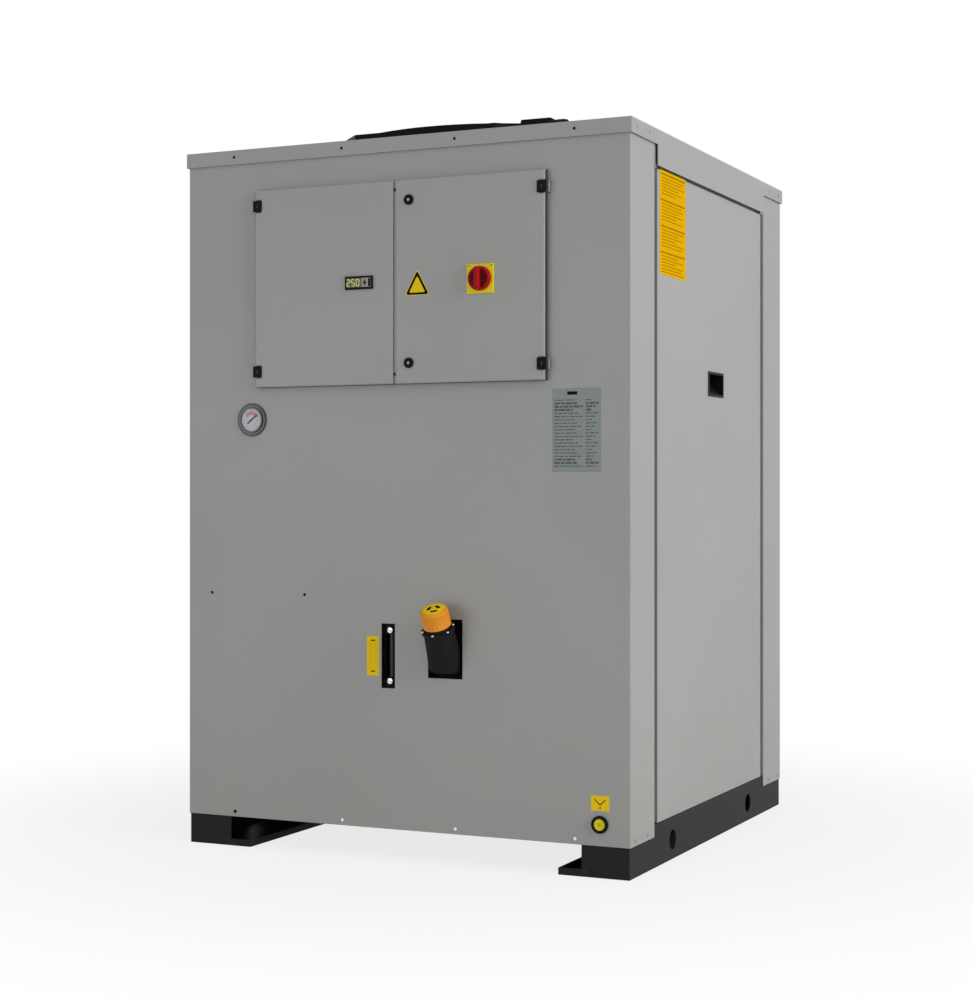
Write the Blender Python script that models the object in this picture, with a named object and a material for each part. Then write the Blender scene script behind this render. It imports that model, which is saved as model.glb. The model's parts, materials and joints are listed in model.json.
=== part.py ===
"""A packaged water chiller: a sheet metal cabinet on two rails, with a roof fan, doors, filler and gauges.

Metres, +Z up, front towards -Y. The origin lies on the floor under the middle of the whole outline.
"""

import math

import bmesh
import bpy
from mathutils import Matrix, Vector

# Clearances
SEAT = 0.0004            # between two pieces that touch
PIVOT_PLAY = 0.0004      # round a pin or a shaft

# Cabinet
LID_WIDTH = 1.240
LID_DEPTH = 1.256
LID_TOP = 1.800
SHEET = 0.002
LID_RIM = 0.037
HEADER_DROP = 0.088
HEADER_FRONT = 0.185     # from the lid's front face to the deeper side flap
PANEL_INSET = 0.0055     # panels stand this far inside the lid's faces
PANEL_BOTTOM = 0.0763
POST_DEPTH = 0.173       # the wrap panels' side returns end here
POST_LIP = 0.015

# Base
RAIL_HEIGHT = 0.106
RAIL_SHEET = 0.004
RAIL_FOOT = 0.182
RAIL_TOP_FLANGE = 0.062
RAIL_LIP = 0.017
RAIL_END = 0.122
LIFT_HOLE_RADIUS = 0.025
LIFT_HOLE_Z = 0.0485
LIFT_HOLE_FROM_END = 0.313
PAN_RIM = 0.030

# Uprights
UPRIGHT_WEB = 0.087
UPRIGHT_FLANGE = 0.040
UPRIGHT_Y = 0.133

# Side panels
SIDE_FRONT = 0.198
SIDE_BOTTOM = 0.1075
SIDE_TOP = 1.706
SIDE_INSET = 0.0015
SIDE_FOLD = 0.025
GRIP_WIDTH = 0.119
GRIP_HEIGHT = 0.058
GRIP_Y = 0.6525
GRIP_Z = 1.201
GRIP_DEPTH = 0.034
GRIP_RIM = 0.004
GRIP_PROUD = 0.0012

# Coil and its guard
COIL_THICKNESS = 0.070
COIL_TOP = 1.690
COIL_SIDE_GAP = 0.004
GUARD_BORDER = 0.030
GUARD_BAR = 0.007
GUARD_SHEET = 0.003
GUARD_COLUMNS = 5
GUARD_ROWS = 10

# Fan
NOZZLE_RADIUS = 0.395
NOZZLE_FLARE = 0.014
NOZZLE_BOTTOM = 1.640
FAN_PLATE_HALF = 0.485
FAN_PLATE_HEIGHT = 0.012
ROOF_HOLE_PLAY = 0.006
RING_STEPS = 48
BASKET_HEIGHT = 0.0416
BASKET_RADIUS = 0.452
BASKET_FOOT_RADIUS = 0.478
BASKET_FOOT = 0.010
BASKET_BAR = 0.005
BASKET_SPOKES = 8
BASKET_SPOKE_WIDTH = 0.008
BASKET_RINGS = 5
BASKET_HUB = 0.100
MOTOR_RADIUS = 0.085
MOTOR_HEIGHT = 0.120
SHAFT_RADIUS = 0.015
SHAFT_LENGTH = 0.040
HUB_RADIUS = 0.118
HUB_WALL = 0.012
HUB_HEIGHT = 0.100
BLADE_COUNT = 7
BLADE_TIP_GAP = 0.010
BLADE_CHORD = 0.190
BLADE_THICKNESS = 0.005
TERMINAL_WIDTH = 0.085
TERMINAL_DEPTH = 0.062
TERMINAL_HEIGHT = 0.037
TERMINAL_X = 0.3075
TERMINAL_Y = 0.183
GLAND_RADIUS = 0.009
GLAND_LENGTH = 0.034
GLAND_HEIGHT = 0.021

# Doors and electrical box
DOOR_SEAM = 0.010
DOOR_CENTRE = 0.002
DOOR_SPAN = 0.800
DOOR_BOTTOM = 1.184
DOOR_TOP = 1.689
DOOR_PROUD = 0.018
DOOR_EDGE = 0.003
DOOR_GAP = 0.0010
DOOR_LAP = 0.013
BOX_DEPTH = 0.205
BOX_LAP = 0.009
HINGE_ARM = 0.009
HINGE_RADIUS = 0.0065
HINGE_PIN = 0.0025
HINGE_HEIGHT = 0.029
HINGE_EAR = 0.005
HINGE_FLAP = 0.010
HINGE_FLAP_SHEET = 0.003
HINGE_UPPER_Z = 1.648
HINGE_LOWER_Z = 1.224
LOCK_FROM_SEAM = 0.032
LOCK_UPPER_Z = 1.638
LOCK_LOWER_Z = 1.235
LOCK_RADIUS = 0.013
LOCK_PROUD = 0.005
LOCK_BARREL = 0.009
LOCK_BARREL_DEPTH = 0.016
LOCK_CORE = 0.0062
SWITCH_X = 0.235
SWITCH_Z = 1.434
SWITCH_PLATE = 0.072
SWITCH_PLATE_SHEET = 0.004
SWITCH_KNOB = 0.030
SWITCH_KNOB_HEIGHT = 0.010
SWITCH_GRIP = 0.013
SWITCH_GRIP_HEIGHT = 0.026
SWITCH_SHAFT = 0.005
SWITCH_SHAFT_DEPTH = 0.030
CONTROLLER_X = -0.100
CONTROLLER_Z = 1.439
CONTROLLER_WIDTH = 0.078
CONTROLLER_HEIGHT = 0.033
CONTROLLER_PROUD = 0.006
CONTROLLER_BODY = 0.060
CONTROLLER_STEP = 0.003
DEVICE_WIDTH = 0.300
BREAKER_X = -0.170
BREAKER_Z = 1.560
BREAKER_HEIGHT = 0.084
BREAKER_DEPTH = 0.066
CONTACTOR_X = 0.160
CONTACTOR_Z = 1.340
CONTACTOR_HEIGHT = 0.080
CONTACTOR_DEPTH = 0.085

# Gauge, tank, level indicator
GAUGE_X = -0.423
GAUGE_Z = 1.102
GAUGE_FLANGE = 0.0425
GAUGE_CAN = 0.0315
GAUGE_PROUD = 0.008
GAUGE_DIAL = 0.0305
GAUGE_DIAL_DEPTH = 0.004
GAUGE_BODY = 0.034
TANK_LEFT = -0.300
TANK_RIGHT = 0.285
TANK_FRONT = 0.0585
TANK_DEPTH = 0.400
TANK_TOP = 0.660
TANK_CORNER = 0.020
TANK_FLANGE = 0.012
WINDOW_X = -0.028
WINDOW_Z = 0.5075
WINDOW_WIDTH = 0.038
WINDOW_HEIGHT = 0.161
LEVEL_WIDTH = 0.030
LEVEL_HEIGHT = 0.167
LEVEL_FRONT = 0.026
LEVEL_CHANNEL = 0.013
LEVEL_TUBE_RADIUS = 0.0055
LEVEL_TUBE_LENGTH = 0.108

# Filler
FILL_X = 0.130
FILL_WINDOW_BOTTOM = 0.457
FILL_WINDOW_TOP = 0.603
FILL_WINDOW_WIDTH = 0.094
FILL_DISH_LAP = 0.008
FILL_DISH_SHEET = 0.003
FILL_TILT = math.radians(26.0)
CAP_TOP_Y = -0.060
CAP_TOP_Z = 0.634
CAP_HEIGHT = 0.048
CAP_RADIUS = 0.0375
CAP_RIB = 0.0016
CAP_RIBS = 22
CAP_WALL = 0.0055
NECK_FLANGE_RADIUS = 0.0415
NECK_FLANGE_HEIGHT = 0.007
NECK_COLLAR_HEIGHT = 0.014
NECK_RADIUS = 0.034

# Drain
DRAIN_X = 0.5385
DRAIN_Z = 0.1275
DRAIN_RADIUS = 0.021
DRAIN_PROUD = 0.007
DRAIN_BARREL = 0.0175
DRAIN_BARREL_DEPTH = 0.020
DRAIN_BORE = 0.0145
PLUG_PROUD = 0.0045
PLUG_SOCKET = 0.008

# Water connections at the rear
PIPE_RADIUS = 0.0242
PIPE_BORE = 0.0210
PIPE_REACH = 0.040       # past the lid's rear face
PIPE_INSIDE = 0.050
PIPE_ROSETTE = 0.042
PIPE_ROSETTE_SHEET = 0.004
INLET_X = 0.300
INLET_Z = 0.400
OUTLET_X = 0.300
OUTLET_Z = 0.620

# Places that follow from the sizes above
CAP_REACH = CAP_RADIUS * math.cos(FILL_TILT) - CAP_TOP_Y
FRONT_Y = -(LID_DEPTH + PIPE_REACH - CAP_REACH) / 2
PANEL_X = LID_WIDTH / 2 - PANEL_INSET
PANEL_Y = FRONT_Y + PANEL_INSET
REAR_PANEL_Y = FRONT_Y + LID_DEPTH - PANEL_INSET
INSIDE_X = PANEL_X - SHEET - SEAT
INSIDE_FRONT = PANEL_Y + SHEET + SEAT
INSIDE_REAR = REAR_PANEL_Y - SHEET - SEAT
MIDDLE_Y = FRONT_Y + LID_DEPTH / 2
LID_UNDER = LID_TOP - SHEET
SIDE_X = PANEL_X - SIDE_INSET
FOLD_X = SIDE_X - SIDE_FOLD
PAN_X = FOLD_X - SEAT
PAN_Z = RAIL_HEIGHT + SEAT
PAN_FLOOR = PAN_Z + SHEET + SEAT
UPRIGHT_X = PAN_X - SHEET - SEAT
SIDE_FRONT_Y = FRONT_Y + SIDE_FRONT
SIDE_REAR_Y = FRONT_Y + LID_DEPTH - SIDE_FRONT
DOOR_FACE = PANEL_Y - DOOR_PROUD
DOOR_BACK = PANEL_Y - DOOR_GAP
DOOR_LEFT = DOOR_CENTRE - DOOR_SPAN / 2
DOOR_RIGHT = DOOR_CENTRE + DOOR_SPAN / 2
SEAM_LEFT = DOOR_CENTRE - DOOR_SEAM / 2
SEAM_RIGHT = DOOR_CENTRE + DOOR_SEAM / 2
HINGE_Y = (DOOR_FACE + DOOR_BACK) / 2
HINGE_LEFT_X = DOOR_LEFT - HINGE_ARM
HINGE_RIGHT_X = DOOR_RIGHT + HINGE_ARM
LOCK_X = SEAM_RIGHT + LOCK_FROM_SEAM
BOX_BACK = INSIDE_FRONT + BOX_DEPTH
DEVICE_BACK = BOX_BACK - SHEET - SEAT
PLATE_Z = LID_TOP + SEAT
PLATE_TOP = PLATE_Z + FAN_PLATE_HEIGHT
BASKET_Z = PLATE_TOP + SEAT
BASKET_TOP = BASKET_Z + BASKET_HEIGHT
MOTOR_TOP = BASKET_TOP - BASKET_BAR - SEAT
MOTOR_BOTTOM = MOTOR_TOP - MOTOR_HEIGHT
HUB_FLOOR = MOTOR_BOTTOM - 0.006
TANK_Y = FRONT_Y + TANK_FRONT


def remove_all():
    for item in list(bpy.data.objects):
        bpy.data.objects.remove(item, do_unlink=True)


def material(name, colour, roughness, metallic=0.0):
    made = bpy.data.materials.new(name)
    made.use_nodes = True
    shader = made.node_tree.nodes["Principled BSDF"]
    shader.inputs["Base Color"].default_value = (*colour, 1.0)
    shader.inputs["Roughness"].default_value = roughness
    shader.inputs["Metallic"].default_value = metallic
    made.diffuse_color = (*colour, 1.0)
    return made


def place(name, bm, look, origin=(0.0, 0.0, 0.0), parent=None, rotation=None):
    """Names the solid and gives it its look. The mesh is in world space, or about the origin if it is rotated."""
    bmesh.ops.recalc_face_normals(bm, faces=bm.faces)
    if rotation is None:
        bmesh.ops.translate(bm, verts=bm.verts, vec=-Vector(origin))
    mesh = bpy.data.meshes.new(name)
    bm.to_mesh(mesh)
    bm.free()
    mesh.materials.append(look)
    mesh.shade_smooth()
    mesh.set_sharp_from_angle(angle=math.radians(32))
    made = bpy.data.objects.new(name, mesh)
    bpy.context.scene.collection.objects.link(made)
    made.location = origin
    if rotation is not None:
        made.rotation_euler = rotation
    if parent is not None:
        made.parent = parent
        made.location = Vector(origin) - parent.location
    return made


def shape(body, tool, operation="DIFFERENCE"):
    """Cuts the tool from the body, or joins it to the body, and keeps the result as the body's mesh."""
    bmesh.ops.recalc_face_normals(tool, faces=tool.faces)
    mesh = bpy.data.meshes.new("tool")
    tool.to_mesh(mesh)
    tool.free()
    cutter = bpy.data.objects.new("tool", mesh)
    bpy.context.scene.collection.objects.link(cutter)
    cutter.hide_render = True
    cutter.display_type = "WIRE"
    change = body.modifiers.new("shape", "BOOLEAN")
    change.operation = operation
    change.solver = "EXACT"
    change.object = cutter
    graph = bpy.context.evaluated_depsgraph_get()
    result = bpy.data.meshes.new_from_object(body.evaluated_get(graph))
    body.modifiers.clear()
    look = body.data.materials[0]
    body.data = result
    result.name = body.name
    result.materials.clear()
    result.materials.append(look)
    for face in result.polygons:
        face.material_index = 0
    result.shade_smooth()
    result.set_sharp_from_angle(angle=math.radians(32))
    bpy.data.objects.remove(cutter, do_unlink=True)
    bpy.data.meshes.remove(mesh)


def ring_faces(bm, lower, upper):
    count = len(lower)
    for i in range(count):
        bm.faces.new((lower[i], lower[(i + 1) % count], upper[(i + 1) % count], upper[i]))


def loft(rings, closed=False, bm=None):
    """Skins rings of points of equal count. A closed loft joins its last ring to its first and has no caps."""
    bm = bm or bmesh.new()
    rows = [[bm.verts.new(point) for point in ring] for ring in rings]
    for lower, upper in zip(rows, rows[1:]):
        ring_faces(bm, lower, upper)
    if closed:
        ring_faces(bm, rows[-1], rows[0])
    else:
        bm.faces.new(rows[0])
        bm.faces.new(rows[-1])
    return bm


def rect(x0, x1, z0, z1, y):
    return [(x0, y, z0), (x1, y, z0), (x1, y, z1), (x0, y, z1)]


def block(x0, x1, y0, y1, z0, z1, bm=None):
    return loft([rect(x0, x1, z0, z1, y0), rect(x0, x1, z0, z1, y1)], bm=bm)


def extrude(outline, axis, start, end, bm=None):
    """Extrudes a flat outline along X, Y or Z. The outline's pairs are the two other axes in order."""
    def at(pair, value):
        a, b = pair
        return {"x": (value, a, b), "y": (a, value, b), "z": (a, b, value)}[axis]
    return loft([[at(p, start) for p in outline], [at(p, end) for p in outline]], bm=bm)


def circle(radius, steps, phase=0.0):
    turns = [2 * math.pi * i / steps + phase for i in range(steps)]
    return [(radius * math.cos(t), radius * math.sin(t)) for t in turns]


def turned(profile, steps, centre, axis="z", closed=False, bm=None):
    """Turns (radius, height) pairs round an axis through the centre, as a solid or as a closed tube."""
    cx, cy, cz = centre
    rings = []
    for radius, height in profile:
        points = circle(radius, steps)
        if axis == "z":
            rings.append([(cx + a, cy + b, cz + height) for a, b in points])
        elif axis == "y":
            rings.append([(cx + a, cy + height, cz + b) for a, b in points])
        else:
            rings.append([(cx + height, cy + a, cz + b) for a, b in points])
    return loft(rings, closed, bm)


def folded(path, sheet):
    """Gives a bent sheet's outline: the path is its outer side, and the metal lies to the path's left."""
    inner = []
    for i, point in enumerate(path):
        here = Vector(point)
        sides = []
        if i > 0:
            sides.append((here - Vector(path[i - 1])).normalized())
        if i < len(path) - 1:
            sides.append((Vector(path[i + 1]) - here).normalized())
        normals = [Vector((-s.y, s.x)) for s in sides]
        if len(normals) == 1:
            shift = normals[0] * sheet
        else:
            shift = (normals[0] + normals[1]) * sheet / (1 + normals[0].dot(normals[1]))
        inner.append(tuple(here + shift))
    return list(path) + inner[::-1]


def tray(x0, x1, z0, z1, face, rim, sheet, edge=0.0, bm=None):
    """A folded tray: a flat face at y=face, with folds that run to y=rim. The edge is the fold's outer chamfer."""
    turn = 1 if rim > face else -1
    outer = [
        rect(x0, x1, z0, z1, rim),
        rect(x0, x1, z0, z1, face + turn * edge),
    ]
    if edge:
        outer.append(rect(x0 + edge, x1 - edge, z0 + edge, z1 - edge, face))
    floor = face + turn * sheet
    inner = [
        rect(x0 + sheet, x1 - sheet, z0 + sheet, z1 - sheet, floor + turn * edge),
        rect(x0 + sheet, x1 - sheet, z0 + sheet, z1 - sheet, rim),
    ]
    bm = bm or bmesh.new()
    out_rows = [[bm.verts.new(p) for p in ring] for ring in outer]
    in_rows = [[bm.verts.new(p) for p in ring] for ring in inner]
    for lower, upper in zip(out_rows, out_rows[1:]):
        ring_faces(bm, lower, upper)
    bm.faces.new(out_rows[-1])
    bm.faces.new(in_rows[0])
    ring_faces(bm, in_rows[0], in_rows[1])
    ring_faces(bm, in_rows[1], out_rows[0])
    return bm


def grid_solid(xs, ys, zs, filled, bm=None):
    """Builds one solid from the filled cells of a grid, with faces only where a filled cell meets an empty one."""
    bm = bm or bmesh.new()
    corners = {}

    def corner(i, j, k):
        if (i, j, k) not in corners:
            corners[i, j, k] = bm.verts.new((xs[i], ys[j], zs[k]))
        return corners[i, j, k]

    def solid(i, j, k):
        inside = 0 <= i < len(xs) - 1 and 0 <= j < len(ys) - 1 and 0 <= k < len(zs) - 1
        return inside and filled(i, j, k)

    for i in range(len(xs) - 1):
        for j in range(len(ys) - 1):
            for k in range(len(zs) - 1):
                if not solid(i, j, k):
                    continue
                for step in (0, 1):
                    if not solid(i - 1 + 2 * step, j, k):
                        bm.faces.new([corner(i + step, j + a, k + b) for a, b in ((0, 0), (1, 0), (1, 1), (0, 1))])
                    if not solid(i, j - 1 + 2 * step, k):
                        bm.faces.new([corner(i + a, j + step, k + b) for a, b in ((0, 0), (1, 0), (1, 1), (0, 1))])
                    if not solid(i, j, k - 1 + 2 * step):
                        bm.faces.new([corner(i + a, j + b, k + step) for a, b in ((0, 0), (1, 0), (1, 1), (0, 1))])
    return bm


def mirrored(points, side):
    return [(side * x, y) for x, y in points]


remove_all()

GREY_PAINT = material("grey paint", (0.52, 0.53, 0.51), 0.42)
DARK_PAINT = material("dark grey paint", (0.045, 0.046, 0.048), 0.5)
INNER_PAINT = material("dark inner paint", (0.03, 0.03, 0.032), 0.6)
BLACK_PAINT = material("black paint", (0.012, 0.012, 0.013), 0.4)
BLACK_PLASTIC = material("black plastic", (0.014, 0.014, 0.015), 0.45)
GREY_PLASTIC = material("grey plastic", (0.42, 0.43, 0.43), 0.45)
ZINC = material("zinc plate", (0.62, 0.63, 0.64), 0.35, 1.0)
ALUMINIUM = material("aluminium fins", (0.70, 0.71, 0.72), 0.4, 1.0)
STAINLESS = material("stainless steel", (0.58, 0.58, 0.57), 0.3, 1.0)
CHROME = material("chrome", (0.75, 0.75, 0.76), 0.12, 1.0)
BRASS = material("brass", (0.72, 0.52, 0.22), 0.3, 1.0)
YELLOW = material("yellow plastic", (0.85, 0.58, 0.04), 0.4)
RED = material("red plastic", (0.62, 0.03, 0.02), 0.35)
ORANGE = material("orange plastic", (0.85, 0.42, 0.10), 0.45)
GLASS = material("clear tube", (0.75, 0.80, 0.80), 0.08)

# Base rails: a channel with its web outside, a foot with an upturned lip and a plate across each end.
for side, name in ((-1, "left_base_rail"), (1, "right_base_rail")):
    web = side * INSIDE_X
    foot = side * (INSIDE_X - RAIL_FOOT)
    wall = side * RAIL_SHEET
    rail = place(name, block(min(web, foot), max(web, foot), INSIDE_FRONT, INSIDE_REAR, 0.0, RAIL_HEIGHT), DARK_PAINT)
    room = [
        (web - wall, RAIL_SHEET),
        (web - wall, RAIL_HEIGHT - RAIL_SHEET),
        (web - side * RAIL_TOP_FLANGE, RAIL_HEIGHT - RAIL_SHEET),
        (web - side * RAIL_TOP_FLANGE, RAIL_HEIGHT + RAIL_LIP),
        (foot - wall, RAIL_HEIGHT + RAIL_LIP),
        (foot - wall, RAIL_LIP),
        (foot + wall, RAIL_LIP),
        (foot + wall, RAIL_SHEET),
    ]
    shape(rail, extrude(room, "y", INSIDE_FRONT + RAIL_SHEET, INSIDE_REAR - RAIL_SHEET))
    past = foot - wall
    plate = web - side * RAIL_END
    relief = block(min(past, plate), max(past, plate), INSIDE_FRONT - RAIL_LIP, INSIDE_REAR + RAIL_LIP,
                   RAIL_LIP, RAIL_HEIGHT + RAIL_LIP)
    shape(rail, relief)
    holes = bmesh.new()
    for y in (FRONT_Y + LIFT_HOLE_FROM_END, FRONT_Y + LID_DEPTH - LIFT_HOLE_FROM_END):
        turned([(LIFT_HOLE_RADIUS, -2 * RAIL_SHEET), (LIFT_HOLE_RADIUS, 2 * RAIL_SHEET)], 24,
               (web, y, LIFT_HOLE_Z), "x", bm=holes)
    shape(rail, holes)

# Base pan: a tray across both rails, open upwards.
pan = bmesh.new()
rows = []
for inset, z in ((0.0, PAN_Z + PAN_RIM), (0.0, PAN_Z), (SHEET, PAN_Z + SHEET), (SHEET, PAN_Z + PAN_RIM)):
    x = PAN_X - inset
    front = INSIDE_FRONT + inset
    rear = INSIDE_REAR - inset
    rows.append([pan.verts.new(p) for p in ((-x, front, z), (x, front, z), (x, rear, z), (-x, rear, z))])
ring_faces(pan, rows[0], rows[1])
pan.faces.new(rows[1])
pan.faces.new(rows[2])
ring_faces(pan, rows[2], rows[3])
ring_faces(pan, rows[3], rows[0])
pan = place("base_pan", pan, INNER_PAINT)
reach = DRAIN_BARREL + PIVOT_PLAY
shape(pan, turned([(reach, -SHEET), (reach, 4 * SHEET)], 32, (DRAIN_X, PANEL_Y, DRAIN_Z), "y"))

# Frame uprights: channels that stand in the pan behind the recess beside each corner post.
for side, where in ((-1, "left"), (1, "right")):
    for end, place_name in ((-1, "front"), (1, "rear")):
        y0 = UPRIGHT_Y - LID_DEPTH / 2
        path = [
            (UPRIGHT_X - UPRIGHT_FLANGE, y0),
            (UPRIGHT_X, y0),
            (UPRIGHT_X, y0 + UPRIGHT_WEB),
            (UPRIGHT_X - UPRIGHT_FLANGE, y0 + UPRIGHT_WEB),
        ]
        outline = [(side * x, MIDDLE_Y - end * y) for x, y in folded(path, SHEET)]
        place(f"{place_name}_{where}_upright", extrude(outline, "z", PAN_FLOOR, LID_UNDER - SEAT), INNER_PAINT)

# Wrap panels: front and rear sheets that turn round the corners and end in a small inward lip.
wrap = folded([
    (PANEL_X - POST_LIP, POST_DEPTH),
    (PANEL_X, POST_DEPTH),
    (PANEL_X, PANEL_INSET),
    (-PANEL_X, PANEL_INSET),
    (-PANEL_X, POST_DEPTH),
    (POST_LIP - PANEL_X, POST_DEPTH),
][::-1], SHEET)
front_panel = place("front_panel", extrude([(x, FRONT_Y + y) for x, y in wrap], "z",
                                           PANEL_BOTTOM, LID_UNDER - SEAT), GREY_PAINT)
OPEN_X0 = DOOR_LEFT + DOOR_LAP
OPEN_X1 = DOOR_RIGHT - DOOR_LAP
OPEN_Z0 = DOOR_BOTTOM + DOOR_LAP
OPEN_Z1 = DOOR_TOP - DOOR_LAP
before = PANEL_Y - SHEET
behind = PANEL_Y + 2 * SHEET
holes = block(OPEN_X0, OPEN_X1, before, behind, OPEN_Z0, OPEN_Z1)
block(WINDOW_X - WINDOW_WIDTH / 2, WINDOW_X + WINDOW_WIDTH / 2, before, behind,
      WINDOW_Z - WINDOW_HEIGHT / 2, WINDOW_Z + WINDOW_HEIGHT / 2, bm=holes)
block(FILL_X - FILL_WINDOW_WIDTH / 2, FILL_X + FILL_WINDOW_WIDTH / 2, before, behind,
      FILL_WINDOW_BOTTOM, FILL_WINDOW_TOP, bm=holes)
for x, z, radius in ((GAUGE_X, GAUGE_Z, GAUGE_CAN), (DRAIN_X, DRAIN_Z, DRAIN_BARREL)):
    reach = radius + PIVOT_PLAY
    turned([(reach, -SHEET), (reach, 2 * SHEET)], 32, (x, PANEL_Y, z), "y", bm=holes)


def notch_lips(tool, lip_y):
    """The corner lips stop above the rails."""
    for side in (-1, 1):
        near = side * (PANEL_X - SHEET)
        far = side * (PANEL_X - POST_LIP - SHEET)
        block(min(near, far), max(near, far), lip_y - 2 * SHEET, lip_y + 2 * SHEET,
              PANEL_BOTTOM - SHEET, PAN_Z, bm=tool)


notch_lips(holes, FRONT_Y + POST_DEPTH - SHEET)
shape(front_panel, holes)

rear_panel = place("rear_panel", extrude([(x, FRONT_Y + LID_DEPTH - y) for x, y in wrap], "z",
                                         PANEL_BOTTOM, LID_UNDER - SEAT), GREY_PAINT)
holes = bmesh.new()
for x, z in ((INLET_X, INLET_Z), (OUTLET_X, OUTLET_Z)):
    reach = PIPE_RADIUS + PIVOT_PLAY
    turned([(reach, -2 * SHEET), (reach, SHEET)], 32, (x, REAR_PANEL_Y, z), "y", bm=holes)
notch_lips(holes, FRONT_Y + LID_DEPTH - POST_DEPTH + SHEET)
shape(rear_panel, holes)

# Right access panel: a folded tray with an opening for the grip.
panel = bmesh.new()
ys = [SIDE_FRONT_Y, SIDE_FRONT_Y + SHEET, FRONT_Y + GRIP_Y - GRIP_WIDTH / 2, FRONT_Y + GRIP_Y + GRIP_WIDTH / 2,
      SIDE_REAR_Y - SHEET, SIDE_REAR_Y]
zs = [SIDE_BOTTOM, SIDE_BOTTOM + SHEET, GRIP_Z - GRIP_HEIGHT / 2, GRIP_Z + GRIP_HEIGHT / 2,
      SIDE_TOP - SHEET, SIDE_TOP]
xs = [FOLD_X, SIDE_X - SHEET, SIDE_X]


def panel_cell(i, j, k):
    if i == 1:
        return not (j == 2 and k == 2)
    return j in (0, 4) or k in (0, 4)


place("right_access_panel", grid_solid(xs, ys, zs, panel_cell), GREY_PAINT)

# Grip cup: a shell with a rim round the opening and a floor that slopes down and out.
y0 = FRONT_Y + GRIP_Y - GRIP_WIDTH / 2 + PIVOT_PLAY
y1 = FRONT_Y + GRIP_Y + GRIP_WIDTH / 2 - PIVOT_PLAY
z0 = GRIP_Z - GRIP_HEIGHT / 2 + PIVOT_PLAY
z1 = GRIP_Z + GRIP_HEIGHT / 2 - PIVOT_PLAY
lip = SIDE_X + SEAT + GRIP_PROUD
deep = SIDE_X - GRIP_DEPTH
cup = place("side_grip_cup", block(deep, SIDE_X + SEAT, y0, y1, z0, z1), BLACK_PLASTIC)
rim = block(SIDE_X + SEAT - GRIP_PROUD / 2, lip, y0 - GRIP_RIM, y1 + GRIP_RIM, z0 - GRIP_RIM, z1 + GRIP_RIM)
rim_cut = [(deep, z0), (deep, z1), (lip, z1), (lip, z0)]
bmesh.ops.translate(rim, verts=rim.verts, vec=(GRIP_PROUD / 2, 0, 0))
shape(cup, rim, "UNION")
hollow = [
    (deep + SHEET, z0 + GRIP_HEIGHT * 0.52),
    (deep + SHEET, z1 - SHEET),
    (lip + SHEET, z1 - SHEET),
    (lip + SHEET, z0 + SHEET),
    (SIDE_X - SHEET, z0 + SHEET),
]
shape(cup, extrude([(x, z) for x, z in hollow], "y", y0 + SHEET, y1 - SHEET))

# Left side: a finned coil between the uprights, behind a guard of the same outline as the right panel.
UPRIGHT_END = UPRIGHT_Y + UPRIGHT_WEB + COIL_SIDE_GAP
place("condenser_coil", block(-UPRIGHT_X, COIL_THICKNESS - UPRIGHT_X, FRONT_Y + UPRIGHT_END,
                              FRONT_Y + LID_DEPTH - UPRIGHT_END, PAN_FLOOR, COIL_TOP), ALUMINIUM)


def bars(start, end, border, count, bar):
    """Grid lines of a frame with a border and evenly spread bars between count openings."""
    clear = (end - start - 2 * border - (count - 1) * bar) / count
    lines = [start]
    at = start + border
    for i in range(count):
        lines.append(at)
        at += clear
        lines.append(at)
        at += bar
    lines.append(end)
    return lines


ys = bars(SIDE_FRONT_Y, SIDE_REAR_Y, GUARD_BORDER, GUARD_COLUMNS, GUARD_BAR)
zs = bars(SIDE_BOTTOM, SIDE_TOP, GUARD_BORDER, GUARD_ROWS, GUARD_BAR)


def guard_cell(i, j, k):
    if i == 0:
        return j % 2 == 0 or k % 2 == 0
    return j in (0, len(ys) - 2) or k in (0, len(zs) - 2)


place("coil_guard", grid_solid([-SIDE_X, GUARD_SHEET - SIDE_X, -FOLD_X], ys, zs, guard_cell), GREY_PAINT)

# Roof lid: a top sheet with a rim all round, deeper over the side panels, and the fan's round hole.
x1 = LID_WIDTH / 2
y1 = LID_DEPTH / 2
xs = [-x1, SHEET - x1, x1 - SHEET, x1]
ys = [MIDDLE_Y + y for y in (-y1, SHEET - y1, HEADER_FRONT - y1, y1 - HEADER_FRONT, y1 - SHEET, y1)]
zs = [LID_TOP - HEADER_DROP, LID_TOP - LID_RIM, LID_UNDER, LID_TOP]


def lid_cell(i, j, k):
    if k == 2:
        return True
    if k == 1:
        return i in (0, 2) or j in (0, 4)
    return i in (0, 2) and j == 2


lid = place("roof_lid", grid_solid(xs, ys, zs, lid_cell), GREY_PAINT)
ROOF_HOLE = NOZZLE_RADIUS + NOZZLE_FLARE + SHEET + ROOF_HOLE_PLAY
shape(lid, turned([(ROOF_HOLE, -2 * SHEET), (ROOF_HOLE, SHEET)], RING_STEPS, (0.0, MIDDLE_Y, LID_TOP)))


# Fan plate: a square tray on the lid, drawn down into a round nozzle with a flared inlet.
def square_ring(half, z):
    points = []
    for a, b in circle(1.0, RING_STEPS):
        reach = half / max(abs(a), abs(b))
        points.append((a * reach, MIDDLE_Y + b * reach, z))
    return points


def round_ring(radius, z):
    return [(a, MIDDLE_Y + b, z) for a, b in circle(radius, RING_STEPS)]


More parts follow.
